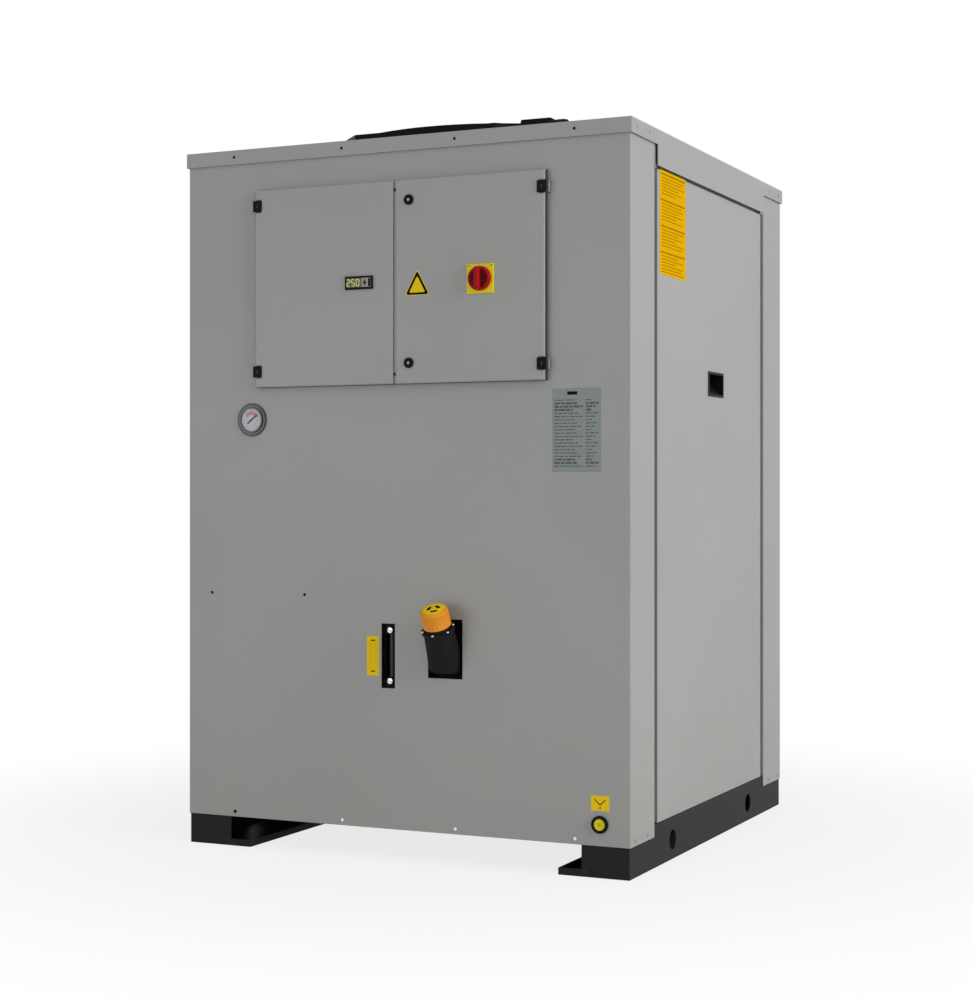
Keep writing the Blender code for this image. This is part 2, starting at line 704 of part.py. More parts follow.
plate_under = PLATE_TOP - SHEET
outer_nozzle = NOZZLE_RADIUS + SHEET
place("fan_plate", loft([
    square_ring(FAN_PLATE_HALF, PLATE_Z),
    square_ring(FAN_PLATE_HALF, PLATE_TOP),
    round_ring(NOZZLE_RADIUS + NOZZLE_FLARE, PLATE_TOP),
    round_ring(NOZZLE_RADIUS + NOZZLE_FLARE * 0.3, PLATE_TOP - NOZZLE_FLARE * 0.3),
    round_ring(NOZZLE_RADIUS, PLATE_TOP - NOZZLE_FLARE),
    round_ring(NOZZLE_RADIUS, NOZZLE_BOTTOM + 2 * NOZZLE_FLARE),
    round_ring(NOZZLE_RADIUS + NOZZLE_FLARE, NOZZLE_BOTTOM),
    round_ring(outer_nozzle + NOZZLE_FLARE, NOZZLE_BOTTOM),
    round_ring(outer_nozzle, NOZZLE_BOTTOM + 2 * NOZZLE_FLARE + SHEET),
    round_ring(outer_nozzle, plate_under - NOZZLE_FLARE),
    round_ring(outer_nozzle + NOZZLE_FLARE * 0.3, plate_under - NOZZLE_FLARE * 0.3),
    round_ring(outer_nozzle + NOZZLE_FLARE, plate_under),
    square_ring(FAN_PLATE_HALF - SHEET, plate_under),
    square_ring(FAN_PLATE_HALF - SHEET, PLATE_Z),
], closed=True), BLACK_PAINT)

# Fan guard: a basket of rings and spokes whose side slopes up from the plate to a flat top.
foot_in = BASKET_FOOT_RADIUS - BASKET_FOOT
rise = BASKET_HEIGHT - BASKET_BAR
stations = [
    (BASKET_FOOT_RADIUS, 0.0),
    (foot_in, 0.0),
    (foot_in - (foot_in - BASKET_RADIUS) * 0.45, rise * 0.42),
    (foot_in - (foot_in - BASKET_RADIUS) * 0.60, rise * 0.56),
    (BASKET_RADIUS, rise),
    (BASKET_RADIUS - BASKET_BAR, rise),
]
pitch = (BASKET_RADIUS - BASKET_BAR - BASKET_HUB) / (BASKET_RINGS + 1)
for ring in range(1, BASKET_RINGS + 1):
    radius = BASKET_RADIUS - BASKET_BAR - ring * pitch
    stations.append((radius + BASKET_BAR / 2, rise))
    stations.append((radius - BASKET_BAR / 2, rise))
stations.append((BASKET_HUB, rise))
GAP_STEPS = 4
guard = bmesh.new()
levels = ([], [])
for radius, height in stations:
    half = math.asin(BASKET_SPOKE_WIDTH / 2 / radius)
    turns = []
    for spoke in range(BASKET_SPOKES):
        start = 2 * math.pi * spoke / BASKET_SPOKES
        gap = 2 * math.pi / BASKET_SPOKES - 2 * half
        turns.append(start - half)
        turns.extend(start + half + gap * step / GAP_STEPS for step in range(GAP_STEPS))
    for level, lift in zip(levels, (0.0, BASKET_BAR)):
        level.append([guard.verts.new((radius * math.cos(t), MIDDLE_Y + radius * math.sin(t),
                                       BASKET_Z + height + lift)) for t in turns])
sectors = BASKET_SPOKES * (GAP_STEPS + 1)


def bar_cell(i, j):
    return 0 <= i < len(stations) - 1 and (i % 2 == 0 or j % sectors % (GAP_STEPS + 1) == 0)


for i in range(len(stations) - 1):
    for j in range(sectors):
        if not bar_cell(i, j):
            continue
        after = (j + 1) % sectors
        for level in levels:
            guard.faces.new((level[i][j], level[i][after], level[i + 1][after], level[i + 1][j]))
        low, high = levels
        if not bar_cell(i - 1, j):
            guard.faces.new((low[i][j], low[i][after], high[i][after], high[i][j]))
        if not bar_cell(i + 1, j) and i + 1 < len(stations) - 1:
            guard.faces.new((low[i + 1][j], low[i + 1][after], high[i + 1][after], high[i + 1][j]))
        if not bar_cell(i, j - 1):
            guard.faces.new((low[i][j], low[i + 1][j], high[i + 1][j], high[i][j]))
        if not bar_cell(i, j + 1):
            guard.faces.new((low[i][after], low[i + 1][after], high[i + 1][after], high[i][after]))
for j in range(sectors):
    if not bar_cell(len(stations) - 2, j):
        after = (j + 1) % sectors
        guard.faces.new((levels[0][-1][j], levels[0][-1][after], levels[1][-1][after], levels[1][-1][j]))
for level in levels:
    guard.faces.new(level[-1])
place("fan_guard", guard, BLACK_PAINT)

# Fan motor: hangs under the guard's hub disc, with its shaft downwards.
place("fan_motor", turned([
    (MOTOR_RADIUS, 0.0),
    (MOTOR_RADIUS, -MOTOR_HEIGHT * 0.85),
    (MOTOR_RADIUS * 0.85, -MOTOR_HEIGHT),
    (SHAFT_RADIUS, -MOTOR_HEIGHT),
    (SHAFT_RADIUS, -MOTOR_HEIGHT - SHAFT_LENGTH),
], 32, (0.0, MIDDLE_Y, MOTOR_TOP)), BLACK_PAINT)

# Impeller: a hub cup bored for the shaft, with twisted blades.
bore = SHAFT_RADIUS + PIVOT_PLAY
fan_centre = (0.0, MIDDLE_Y, HUB_FLOOR)
impeller = place("fan_impeller", turned([
    (HUB_RADIUS, HUB_HEIGHT - 0.015),
    (HUB_RADIUS, 0.0),
    (HUB_RADIUS * 0.8, -0.012),
    (bore, -0.018),
    (bore, 0.0),
    (HUB_RADIUS - HUB_WALL, 0.0),
    (HUB_RADIUS - HUB_WALL, HUB_HEIGHT - 0.015),
], 42, fan_centre, closed=True), BLACK_PLASTIC, origin=fan_centre)
BLADE_TIP = NOZZLE_RADIUS - BLADE_TIP_GAP
BLADE_STATIONS = 5
SECTION = ((-0.5, -0.1), (-0.25, -0.5), (0.1, -0.5), (0.5, -0.1), (0.5, 0.1), (0.1, 0.5), (-0.25, 0.5), (-0.5, 0.1))
blades = bmesh.new()
for blade in range(BLADE_COUNT):
    start = 2 * math.pi * blade / BLADE_COUNT
    rings = []
    for station in range(BLADE_STATIONS):
        share = station / (BLADE_STATIONS - 1)
        radius = HUB_RADIUS - HUB_WALL * 0.5 + (BLADE_TIP - HUB_RADIUS + HUB_WALL * 0.5) * share
        chord = BLADE_CHORD * (0.62 + 0.38 * share)
        pitch_angle = math.radians(40.0 - 22.0 * share)
        sweep = math.radians(14.0) * share * share
        ring = []
        for along, across in SECTION:
            camber = 0.10 * chord * (0.25 - along * along)
            u = along * chord
            v = across * BLADE_THICKNESS + camber
            tangent = u * math.cos(pitch_angle) - v * math.sin(pitch_angle)
            lift = u * math.sin(pitch_angle) + v * math.cos(pitch_angle)
            angle = start + sweep + tangent / radius
            ring.append((radius * math.cos(angle), MIDDLE_Y + radius * math.sin(angle),
                         HUB_FLOOR + HUB_HEIGHT * 0.42 + lift))
        rings.append(ring)
    loft(rings, bm=blades)
shape(impeller, blades, "UNION")

# Fan terminal box on the plate's front right corner, with a cable gland on its right side.
x0 = TERMINAL_X - TERMINAL_WIDTH / 2
x1 = TERMINAL_X + TERMINAL_WIDTH / 2
y0 = FRONT_Y + TERMINAL_Y - TERMINAL_DEPTH / 2
y1 = FRONT_Y + TERMINAL_Y + TERMINAL_DEPTH / 2
z0 = PLATE_TOP + SEAT
z1 = z0 + TERMINAL_HEIGHT
terminal = place("fan_terminal_box", block(x0, x1, y0, y1, z0, z1), BLACK_PLASTIC)
gland = turned([
    (GLAND_RADIUS, -SHEET),
    (GLAND_RADIUS, GLAND_LENGTH * 0.35),
    (GLAND_RADIUS * 0.8, GLAND_LENGTH * 0.35),
    (GLAND_RADIUS * 0.8, GLAND_LENGTH * 0.5),
    (GLAND_RADIUS, GLAND_LENGTH * 0.5),
    (GLAND_RADIUS, GLAND_LENGTH * 0.9),
    (GLAND_RADIUS * 0.75, GLAND_LENGTH),
], 12, (x1, FRONT_Y + TERMINAL_Y, z0 + GLAND_HEIGHT), "x")
shape(terminal, gland, "UNION")

# Electrical box: a deep tray behind the front panel, with two rows of devices on its back.
place("electrical_box", tray(OPEN_X0 - BOX_LAP, OPEN_X1 + BOX_LAP, OPEN_Z0 - BOX_LAP, OPEN_Z1 + BOX_LAP,
                             BOX_BACK, INSIDE_FRONT, SHEET), ZINC)


def device_row(name, x, z, height, depth, look):
    """Modular devices on a rail share one stepped outline, so a row is one extrusion."""
    nose = height * 0.26
    base = depth * 0.62
    outline = [
        (DEVICE_BACK, z - height / 2),
        (DEVICE_BACK - base, z - height / 2),
        (DEVICE_BACK - base, z - nose),
        (DEVICE_BACK - depth, z - nose * 0.8),
        (DEVICE_BACK - depth, z + nose * 0.8),
        (DEVICE_BACK - base, z + nose),
        (DEVICE_BACK - base, z + height / 2),
        (DEVICE_BACK, z + height / 2),
    ]
    place(name, extrude(outline, "x", x - DEVICE_WIDTH / 2, x + DEVICE_WIDTH / 2), look)


device_row("breaker_row", BREAKER_X, BREAKER_Z, BREAKER_HEIGHT, BREAKER_DEPTH, GREY_PLASTIC)
device_row("contactor_row", CONTACTOR_X, CONTACTOR_Z, CONTACTOR_HEIGHT, CONTACTOR_DEPTH, BLACK_PLASTIC)

# Doors: two folded trays that meet at a narrow seam.
left_door = place("left_door", tray(DOOR_LEFT, SEAM_LEFT, DOOR_BOTTOM, DOOR_TOP, DOOR_FACE, DOOR_BACK,
                                    SHEET, DOOR_EDGE), GREY_PAINT, origin=(HINGE_LEFT_X, HINGE_Y, DOOR_BOTTOM))
right_door = place("right_door", tray(SEAM_RIGHT, DOOR_RIGHT, DOOR_BOTTOM, DOOR_TOP, DOOR_FACE, DOOR_BACK,
                                      SHEET, DOOR_EDGE), GREY_PAINT, origin=(HINGE_RIGHT_X, HINGE_Y, DOOR_BOTTOM))

body_half = CONTROLLER_WIDTH / 2 - CONTROLLER_STEP
body_tall = CONTROLLER_HEIGHT / 2 - CONTROLLER_STEP
shape(left_door, block(CONTROLLER_X - body_half - SEAT, CONTROLLER_X + body_half + SEAT,
                       DOOR_FACE - SHEET, DOOR_FACE + 2 * SHEET + DOOR_EDGE,
                       CONTROLLER_Z - body_tall - SEAT, CONTROLLER_Z + body_tall + SEAT))
holes = bmesh.new()
for x, z, radius in ((LOCK_X, LOCK_UPPER_Z, LOCK_BARREL), (LOCK_X, LOCK_LOWER_Z, LOCK_BARREL),
                     (SWITCH_X, SWITCH_Z, SWITCH_SHAFT)):
    reach = radius + PIVOT_PLAY
    turned([(reach, -SHEET), (reach, 2 * SHEET + DOOR_EDGE)], 24, (x, DOOR_FACE, z), "y", bm=holes)
shape(right_door, holes)

# Hinges: two ears and a pin stand on the panel, and a bored block between them carries the door.
HINGE_STEPS = 16
turns = [2 * math.pi * i / HINGE_STEPS for i in range(HINGE_STEPS)]
ear_back = PANEL_Y - SEAT - HINGE_Y
ear = []
for t in turns:
    a = HINGE_RADIUS * math.cos(t)
    b = HINGE_RADIUS * math.sin(t)
    ear.append((a, ear_back if b > HINGE_RADIUS * 0.5 else b))
flap = HINGE_ARM + HINGE_FLAP
face = DOOR_FACE - SEAT - HINGE_Y
for hinge_x, side, door, where in ((HINGE_LEFT_X, 1, left_door, "left"), (HINGE_RIGHT_X, -1, right_door, "right")):
    for z, level in ((HINGE_UPPER_Z, "upper"), (HINGE_LOWER_Z, "lower")):
        low = z - HINGE_HEIGHT / 2
        high = z + HINGE_HEIGHT / 2

        def section(points, height):
            return [(hinge_x + side * a, HINGE_Y + b, height) for a, b in points]

        pin = circle(HINGE_PIN, HINGE_STEPS)
        place(f"{where}_{level}_hinge_bracket", loft([
            section(ear, low),
            section(ear, low + HINGE_EAR),
            section(pin, low + HINGE_EAR),
            section(pin, high - HINGE_EAR),
            section(ear, high - HINGE_EAR),
            section(ear, high),
        ]), BLACK_PLASTIC)
        reach = HINGE_ARM - SEAT
        arm = [
            (reach, 0.0),
            (reach, HINGE_RADIUS * 0.6),
            (HINGE_RADIUS * 0.8, HINGE_RADIUS),
            (0.0, HINGE_RADIUS),
            (-HINGE_RADIUS * 0.7, HINGE_RADIUS * 0.7),
            (-HINGE_RADIUS, 0.0),
            (-HINGE_RADIUS * 0.9, -HINGE_RADIUS * 0.5),
            (HINGE_RADIUS * 0.1, face - HINGE_FLAP_SHEET),
            (flap, face - HINGE_FLAP_SHEET),
            (flap, face),
            (reach, face),
            (reach, -HINGE_RADIUS * 0.4),
        ]
        bottom = low + HINGE_EAR + PIVOT_PLAY
        top = high - HINGE_EAR - PIVOT_PLAY
        outline = [(hinge_x + side * a, HINGE_Y + b) for a, b in arm]
        carrier = place(f"{where}_{level}_hinge_block", extrude(outline, "z", bottom, top), BLACK_PLASTIC,
                        origin=(hinge_x, HINGE_Y, z), parent=door)
        reach = HINGE_PIN + PIVOT_PLAY
        shape(carrier, turned([(reach, -HINGE_HEIGHT), (reach, HINGE_HEIGHT)], HINGE_STEPS, (hinge_x, HINGE_Y, z)))

# Door locks: a ring with a barrel through the door, and a core that turns inside it.
for z, level in ((LOCK_UPPER_Z, "upper"), (LOCK_LOWER_Z, "lower")):
    at = (LOCK_X, DOOR_FACE, z)
    place(f"{level}_lock_ring", turned([
        (LOCK_CORE + PIVOT_PLAY, -LOCK_PROUD),
        (LOCK_RADIUS - 0.002, -LOCK_PROUD),
        (LOCK_RADIUS, -LOCK_PROUD + 0.002),
        (LOCK_RADIUS, -SEAT),
        (LOCK_BARREL, -SEAT),
        (LOCK_BARREL, LOCK_BARREL_DEPTH),
        (LOCK_CORE + PIVOT_PLAY, LOCK_BARREL_DEPTH),
    ], 24, at, "y", closed=True), BLACK_PLASTIC, origin=at, parent=right_door)
    core = place(f"{level}_lock_core", turned([
        (LOCK_CORE, -LOCK_PROUD + 0.001),
        (LOCK_CORE, LOCK_BARREL_DEPTH),
    ], 24, at, "y"), GREY_PLASTIC, origin=at, parent=right_door)
    socket = [(LOCK_CORE * 0.62 * math.sin(t), LOCK_CORE * 0.62 * math.cos(t))
              for t in (0.0, 2 * math.pi / 3, 4 * math.pi / 3)]
    tool = extrude([(a, z - DOOR_BOTTOM + b) for a, b in socket], "y", -LOCK_PROUD - 0.002, 0.0)
    bmesh.ops.translate(tool, verts=tool.verts, vec=(LOCK_X, DOOR_FACE, DOOR_BOTTOM))
    shape(core, tool)

# Main switch: a plate on the door and a knob with a bar grip, on a shaft through both.
at = (SWITCH_X, DOOR_FACE, SWITCH_Z)
half = SWITCH_PLATE / 2
front = DOOR_FACE - SEAT - SWITCH_PLATE_SHEET
plate = bmesh.new()
loft([
    rect(SWITCH_X - half, SWITCH_X + half, SWITCH_Z - half, SWITCH_Z + half, DOOR_FACE - SEAT),
    rect(SWITCH_X - half, SWITCH_X + half, SWITCH_Z - half, SWITCH_Z + half, front + 0.001),
    rect(SWITCH_X - half + 0.001, SWITCH_X + half - 0.001, SWITCH_Z - half + 0.001, SWITCH_Z + half - 0.001, front),
], bm=plate)
switch_plate = place("switch_plate", plate, YELLOW, origin=at, parent=right_door)
reach = SWITCH_SHAFT + PIVOT_PLAY
shape(switch_plate, turned([(reach, -2 * SWITCH_PLATE_SHEET), (reach, SWITCH_PLATE_SHEET)], 24, at, "y"))
knob_back = front - PIVOT_PLAY - DOOR_FACE
switch = place("switch_handle", turned([
    (SWITCH_SHAFT, SWITCH_SHAFT_DEPTH),
    (SWITCH_SHAFT, knob_back),
    (SWITCH_KNOB, knob_back),
    (SWITCH_KNOB, knob_back - SWITCH_KNOB_HEIGHT * 0.7),
    (SWITCH_KNOB * 0.9, knob_back - SWITCH_KNOB_HEIGHT),
], 24, at, "y"), RED, origin=at, parent=right_door)
grip = []
for end in (1, -1):
    for step in range(7):
        t = math.pi * step / 6 + (0.0 if end > 0 else math.pi)
        grip.append((SWITCH_GRIP / 2 * math.cos(t),
                     SWITCH_GRIP / 2 * math.sin(t) + end * (SWITCH_KNOB * 0.95 - SWITCH_GRIP / 2)))
tip = knob_back - SWITCH_GRIP_HEIGHT
handle = loft([
    [(SWITCH_X + a, DOOR_FACE + knob_back - SWITCH_KNOB_HEIGHT * 0.5, SWITCH_Z + b) for a, b in grip],
    [(SWITCH_X + a, DOOR_FACE + tip + 0.002, SWITCH_Z + b * 0.96) for a, b in grip],
    [(SWITCH_X + a * 0.75, DOOR_FACE + tip, SWITCH_Z + b * 0.90) for a, b in grip],
])
shape(switch, handle, "UNION")

# Controller: a bezel on the door face, a recessed screen and a body through the door.
cx = CONTROLLER_X
cz = CONTROLLER_Z
wide = CONTROLLER_WIDTH / 2
tall = CONTROLLER_HEIGHT / 2


def screen_ring(half_width, half_height, y):
    return rect(cx - half_width, cx + half_width, cz - half_height, cz + half_height, y)


front = DOOR_FACE - SEAT - CONTROLLER_PROUD
place("controller", loft([
    screen_ring(body_half, body_tall, DOOR_FACE + CONTROLLER_BODY),
    screen_ring(body_half, body_tall, DOOR_FACE - SEAT),
    screen_ring(wide, tall, DOOR_FACE - SEAT),
    screen_ring(wide, tall, front + 0.002),
    screen_ring(wide - 0.0015, tall - 0.0015, front),
    screen_ring(wide - 0.004, tall - 0.004, front),
    screen_ring(wide - 0.005, tall - 0.005, front + 0.001),
]), BLACK_PLASTIC, origin=(cx, DOOR_FACE, cz), parent=left_door)

# Pressure gauge: a flange on the panel, a raised bezel round a sunk dial, and a can behind.
place("pressure_gauge", turned([
    (GAUGE_CAN, SHEET + GAUGE_BODY),
    (GAUGE_CAN, -SEAT),
    (GAUGE_FLANGE, -SEAT),
    (GAUGE_FLANGE, -SEAT - 0.003),
    (GAUGE_FLANGE - 0.003, -SEAT - 0.004),
    (GAUGE_DIAL + 0.004, -SEAT - 0.004),
    (GAUGE_DIAL + 0.003, -GAUGE_PROUD),
    (GAUGE_DIAL, -GAUGE_PROUD),
    (GAUGE_DIAL - 0.001, GAUGE_DIAL_DEPTH - GAUGE_PROUD),
], 40, (GAUGE_X, PANEL_Y, GAUGE_Z), "y"), CHROME)


# Water tank behind the lower front: upright with rounded corners and a flanged top edge.
def rounded(x0, x1, y0, y1, corner, z, steps=4):
    points = []
    for cx, cy, start in ((x1 - corner, y1 - corner, 0), (x0 + corner, y1 - corner, 1),
                          (x0 + corner, y0 + corner, 2), (x1 - corner, y0 + corner, 3)):
        for step in range(steps + 1):
            t = math.pi / 2 * (start + step / steps)
            points.append((cx + corner * math.cos(t), cy + corner * math.sin(t), z))
    return points


tank_rear = TANK_Y + TANK_DEPTH
place("water_tank", loft([
    rounded(TANK_LEFT, TANK_RIGHT, TANK_Y, tank_rear, TANK_CORNER, PAN_FLOOR),
    rounded(TANK_LEFT, TANK_RIGHT, TANK_Y, tank_rear, TANK_CORNER, TANK_TOP - SHEET),
    rounded(TANK_LEFT - TANK_FLANGE, TANK_RIGHT + TANK_FLANGE, TANK_Y - TANK_FLANGE, tank_rear + TANK_FLANGE,
            TANK_CORNER + TANK_FLANGE, TANK_TOP - SHEET),
    rounded(TANK_LEFT - TANK_FLANGE, TANK_RIGHT + TANK_FLANGE, TANK_Y - TANK_FLANGE, tank_rear + TANK_FLANGE,
            TANK_CORNER + TANK_FLANGE, TANK_TOP),
]), STAINLESS)

# Level indicator: a block on the tank behind its window, with a channel for the sight tube.
face = FRONT_Y + LEVEL_FRONT
level = place("level_indicator", block(WINDOW_X - LEVEL_WIDTH / 2, WINDOW_X + LEVEL_WIDTH / 2, face, TANK_Y - SEAT,
                                       WINDOW_Z - LEVEL_HEIGHT / 2, WINDOW_Z + LEVEL_HEIGHT / 2), BLACK_PLASTIC)
half = LEVEL_TUBE_LENGTH / 2 + PIVOT_PLAY
shape(level, block(WINDOW_X - LEVEL_CHANNEL / 2, WINDOW_X + LEVEL_CHANNEL / 2, face - SHEET,
                   face + 2 * LEVEL_TUBE_RADIUS + SHEET, WINDOW_Z - half, WINDOW_Z + half))
place("level_tube", turned([(LEVEL_TUBE_RADIUS, -LEVEL_TUBE_LENGTH / 2), (LEVEL_TUBE_RADIUS, LEVEL_TUBE_LENGTH / 2)],
                           20, (WINDOW_X, face + LEVEL_TUBE_RADIUS + SEAT, WINDOW_Z)), GLASS)

# Filler neck: a dish behind the panel's window and a chute that leans out of it to the flange and the collar.
lean = Vector((0.0, -math.sin(FILL_TILT), math.cos(FILL_TILT)))
across = Vector((0.0, math.cos(FILL_TILT), math.sin(FILL_TILT)))
cap_top = Vector((FILL_X, FRONT_Y + CAP_TOP_Y, CAP_TOP_Z))
cap_base = cap_top - lean * CAP_HEIGHT
flange_top = cap_base - lean * SEAT
x0 = FILL_X - FILL_WINDOW_WIDTH / 2 - FILL_DISH_LAP
x1 = FILL_X + FILL_WINDOW_WIDTH / 2 + FILL_DISH_LAP
z0 = FILL_WINDOW_BOTTOM - FILL_DISH_LAP
z1 = FILL_WINDOW_TOP + FILL_DISH_LAP
neck = place("filler_neck", tray(x0, x1, z0, z1, TANK_Y - SEAT, INSIDE_FRONT, FILL_DISH_SHEET), BLACK_PLASTIC)
NECK_STEPS = 24


def neck_ring(centre, half_width, half_depth, direction, power):
    """A ring between a circle and a rounded rectangle, flat in the plane of X and the direction."""
    ring = []
    for a, b in circle(1.0, NECK_STEPS):
        u = math.copysign(abs(a) ** power, a) * half_width
        v = math.copysign(abs(b) ** power, b) * half_depth
        ring.append(tuple(centre + Vector((u, 0.0, 0.0)) + direction * v))
    return ring


root_z = (FILL_WINDOW_BOTTOM + FILL_WINDOW_TOP) / 2
root = Vector((FILL_X, TANK_Y - SEAT - FILL_DISH_SHEET / 2, root_z - 0.036))
knee = Vector((FILL_X, FRONT_Y + TANK_FRONT - 0.030, root_z - 0.030))
under = flange_top - lean * NECK_FLANGE_HEIGHT
chute = loft([
    neck_ring(root, NECK_RADIUS, 0.034, Vector((0.0, 0.0, 1.0)), 0.55),
    neck_ring(knee, NECK_RADIUS, 0.038, Vector((0.0, 0.6, 0.8)), 0.55),
    neck_ring(under - lean * 0.010, NECK_RADIUS, NECK_RADIUS, across, 1.0),
    neck_ring(under, NECK_RADIUS, NECK_RADIUS, across, 1.0),
    neck_ring(under, NECK_FLANGE_RADIUS, NECK_FLANGE_RADIUS, across, 1.0),
    neck_ring(flange_top, NECK_FLANGE_RADIUS, NECK_FLANGE_RADIUS, across, 1.0),
    neck_ring(flange_top, CAP_RADIUS - CAP_WALL - CAP_RIB - PIVOT_PLAY * 2,
              CAP_RADIUS - CAP_WALL - CAP_RIB - PIVOT_PLAY * 2, across, 1.0),
    neck_ring(flange_top + lean * NECK_COLLAR_HEIGHT, CAP_RADIUS - CAP_WALL - CAP_RIB - PIVOT_PLAY * 2,
              CAP_RADIUS - CAP_WALL - CAP_RIB - PIVOT_PLAY * 2, across, 1.0),
])
shape(neck, chute, "UNION")

# Filler cap: ribbed outside, hollow from below, and turned on the leaning axis.
cap_inner = CAP_RADIUS - CAP_WALL - CAP_RIB
steps = 2 * CAP_RIBS


def cap_ring(radius, height, ribbed):
    ring = []
    for i in range(steps):
        t = 2 * math.pi * i / steps - math.pi / 2
        reach = radius - (CAP_RIB if ribbed and i % 2 else 0.0)
        ring.append((reach * math.cos(t), reach * math.sin(t), height))
    return ring


place("filler_cap", loft([
    cap_ring(cap_inner, CAP_HEIGHT - CAP_WALL, False),
    cap_ring(cap_inner, 0.0, False),
    cap_ring(CAP_RADIUS, 0.0, False),
    cap_ring(CAP_RADIUS, 0.004, False),
    cap_ring(CAP_RADIUS, 0.005, True),
    cap_ring(CAP_RADIUS, CAP_HEIGHT - 0.010, True),
    cap_ring(CAP_RADIUS, CAP_HEIGHT - 0.008, False),
    cap_ring(CAP_RADIUS, CAP_HEIGHT, False),
]), ORANGE, origin=cap_base, rotation=(FILL_TILT, 0.0, 0.0))

# Drain: a ring through the panel and a plug inside it.
place("drain_bushing", turned([
    (DRAIN_BORE, -DRAIN_PROUD),
    (DRAIN_RADIUS - 0.002, -DRAIN_PROUD),
    (DRAIN_RADIUS, -DRAIN_PROUD + 0.002),
    (DRAIN_RADIUS, -SEAT),
    (DRAIN_BARREL, -SEAT),
    (DRAIN_BARREL, DRAIN_BARREL_DEPTH),
    (DRAIN_BORE, DRAIN_BARREL_DEPTH),
], 32, (DRAIN_X, PANEL_Y, DRAIN_Z), "y", closed=True), BLACK_PLASTIC)
plug_radius = DRAIN_BORE - PIVOT_PLAY
plug = place("drain_plug", turned([
    (plug_radius, -PLUG_PROUD),
    (plug_radius, DRAIN_BARREL_DEPTH),
], 32, (DRAIN_X, PANEL_Y, DRAIN_Z), "y"), YELLOW)
half = PLUG_SOCKET / 2
shape(plug, block(DRAIN_X - half, DRAIN_X + half, PANEL_Y - 2 * PLUG_PROUD, PANEL_Y,
                  DRAIN_Z - half, DRAIN_Z + half))

# Water connections: open pipe ends through the rear panel, each with a rosette on the panel.
for name, x, z in (("water_inlet", INLET_X, INLET_Z), ("water_outlet", OUTLET_X, OUTLET_Z)):
    end = PIPE_REACH + PANEL_INSET
    place(name, turned([
        (PIPE_BORE, -PIPE_INSIDE),
        (PIPE_RADIUS, -PIPE_INSIDE),
        (PIPE_RADIUS, SEAT),
        (PIPE_ROSETTE, SEAT),
        (PIPE_ROSETTE, SEAT + PIPE_ROSETTE_SHEET),
        (PIPE_RADIUS, SEAT + PIPE_ROSETTE_SHEET),
        (PIPE_RADIUS, end),
        (PIPE_BORE, end),
    ], 32, (x, REAR_PANEL_Y, z), "y", closed=True), BRASS)
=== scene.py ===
# %% [markdown]
# # A packaged water chiller
# The cabinet, its doors, its fan and its fittings come in as one fixed frame of solids. This script gives
# them their finishes and adds what is too small or too thin for the solids: screws, rivets, plates, printed
# marks, fine wires and fins. A few solids get a finer stand-in. Each cell does one step and prints what it
# made.

# %% Load the frame
import math

import bmesh
import bpy
from mathutils import Matrix, Vector
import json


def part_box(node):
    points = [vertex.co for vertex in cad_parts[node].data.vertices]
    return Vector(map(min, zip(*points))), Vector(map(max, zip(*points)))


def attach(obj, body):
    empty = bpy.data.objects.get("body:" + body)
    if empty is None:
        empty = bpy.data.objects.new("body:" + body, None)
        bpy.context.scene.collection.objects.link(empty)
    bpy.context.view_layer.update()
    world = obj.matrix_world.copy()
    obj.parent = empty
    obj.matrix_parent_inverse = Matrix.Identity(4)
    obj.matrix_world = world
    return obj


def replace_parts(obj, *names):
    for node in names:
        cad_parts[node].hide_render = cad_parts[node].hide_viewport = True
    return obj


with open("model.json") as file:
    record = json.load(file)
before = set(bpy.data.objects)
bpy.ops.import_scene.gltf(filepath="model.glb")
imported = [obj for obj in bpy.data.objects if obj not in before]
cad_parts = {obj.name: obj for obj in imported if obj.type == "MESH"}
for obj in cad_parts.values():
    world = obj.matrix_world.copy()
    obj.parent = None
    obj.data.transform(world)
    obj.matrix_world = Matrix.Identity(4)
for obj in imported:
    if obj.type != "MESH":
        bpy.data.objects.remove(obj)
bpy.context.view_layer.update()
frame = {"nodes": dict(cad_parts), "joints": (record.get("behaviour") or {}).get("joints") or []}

# %% [markdown]
# ## Planes that the fittings sit on
# Every fitting is placed from the face that carries it. Those faces are read from the solids' own boxes, so
# a screw or a plate can't float in front of its sheet or sink into it.

# %% Planes and centres
lid_low, lid_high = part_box("roof_lid")
panel_low, panel_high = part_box("front_panel")
side_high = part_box("right_access_panel")[1]
rear_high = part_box("rear_panel")[1]
left_door_low, left_door_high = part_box("left_door")
LID_FRONT = lid_low.y
PANEL_FACE = panel_low.y
SIDE_FACE = side_high.x
POST_FACE = panel_high.x
DOOR_FACE = left_door_low.y
MIDDLE_Y = (lid_low.y + lid_high.y) / 2
DEPTH = lid_high.y - lid_low.y
print("lid front, panel and door planes:", round(LID_FRONT, 4), round(PANEL_FACE, 4), round(DOOR_FACE, 4))


def middle(node):
    low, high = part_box(node)
    return (low + high) / 2


# %% [markdown]
# ## Shader maths as Python expressions
# A finish is a small calculation on every point of a surface. Written node by node it is long and hard to
# read. The class below wraps one output socket, so that `1 - dust * 0.3` adds its Math nodes by itself.
# Colours don't go through Math nodes, which would turn them grey: they are mixed by a Mix node.

# %% A socket that does arithmetic
class Wire:
    def __init__(self, finish, socket):
        self.finish = finish
        self.socket = socket

    def _math(self, operation, first, second):
        return self.finish.node("ShaderNodeMath", {"operation": operation}, {0: first, 1: second})

    def __pow__(self, other):
        return self._math("POWER", self, other)

    def __gt__(self, other):
        return self._math("GREATER_THAN", self, other)

    def __lt__(self, other):
        return self._math("LESS_THAN", self, other)


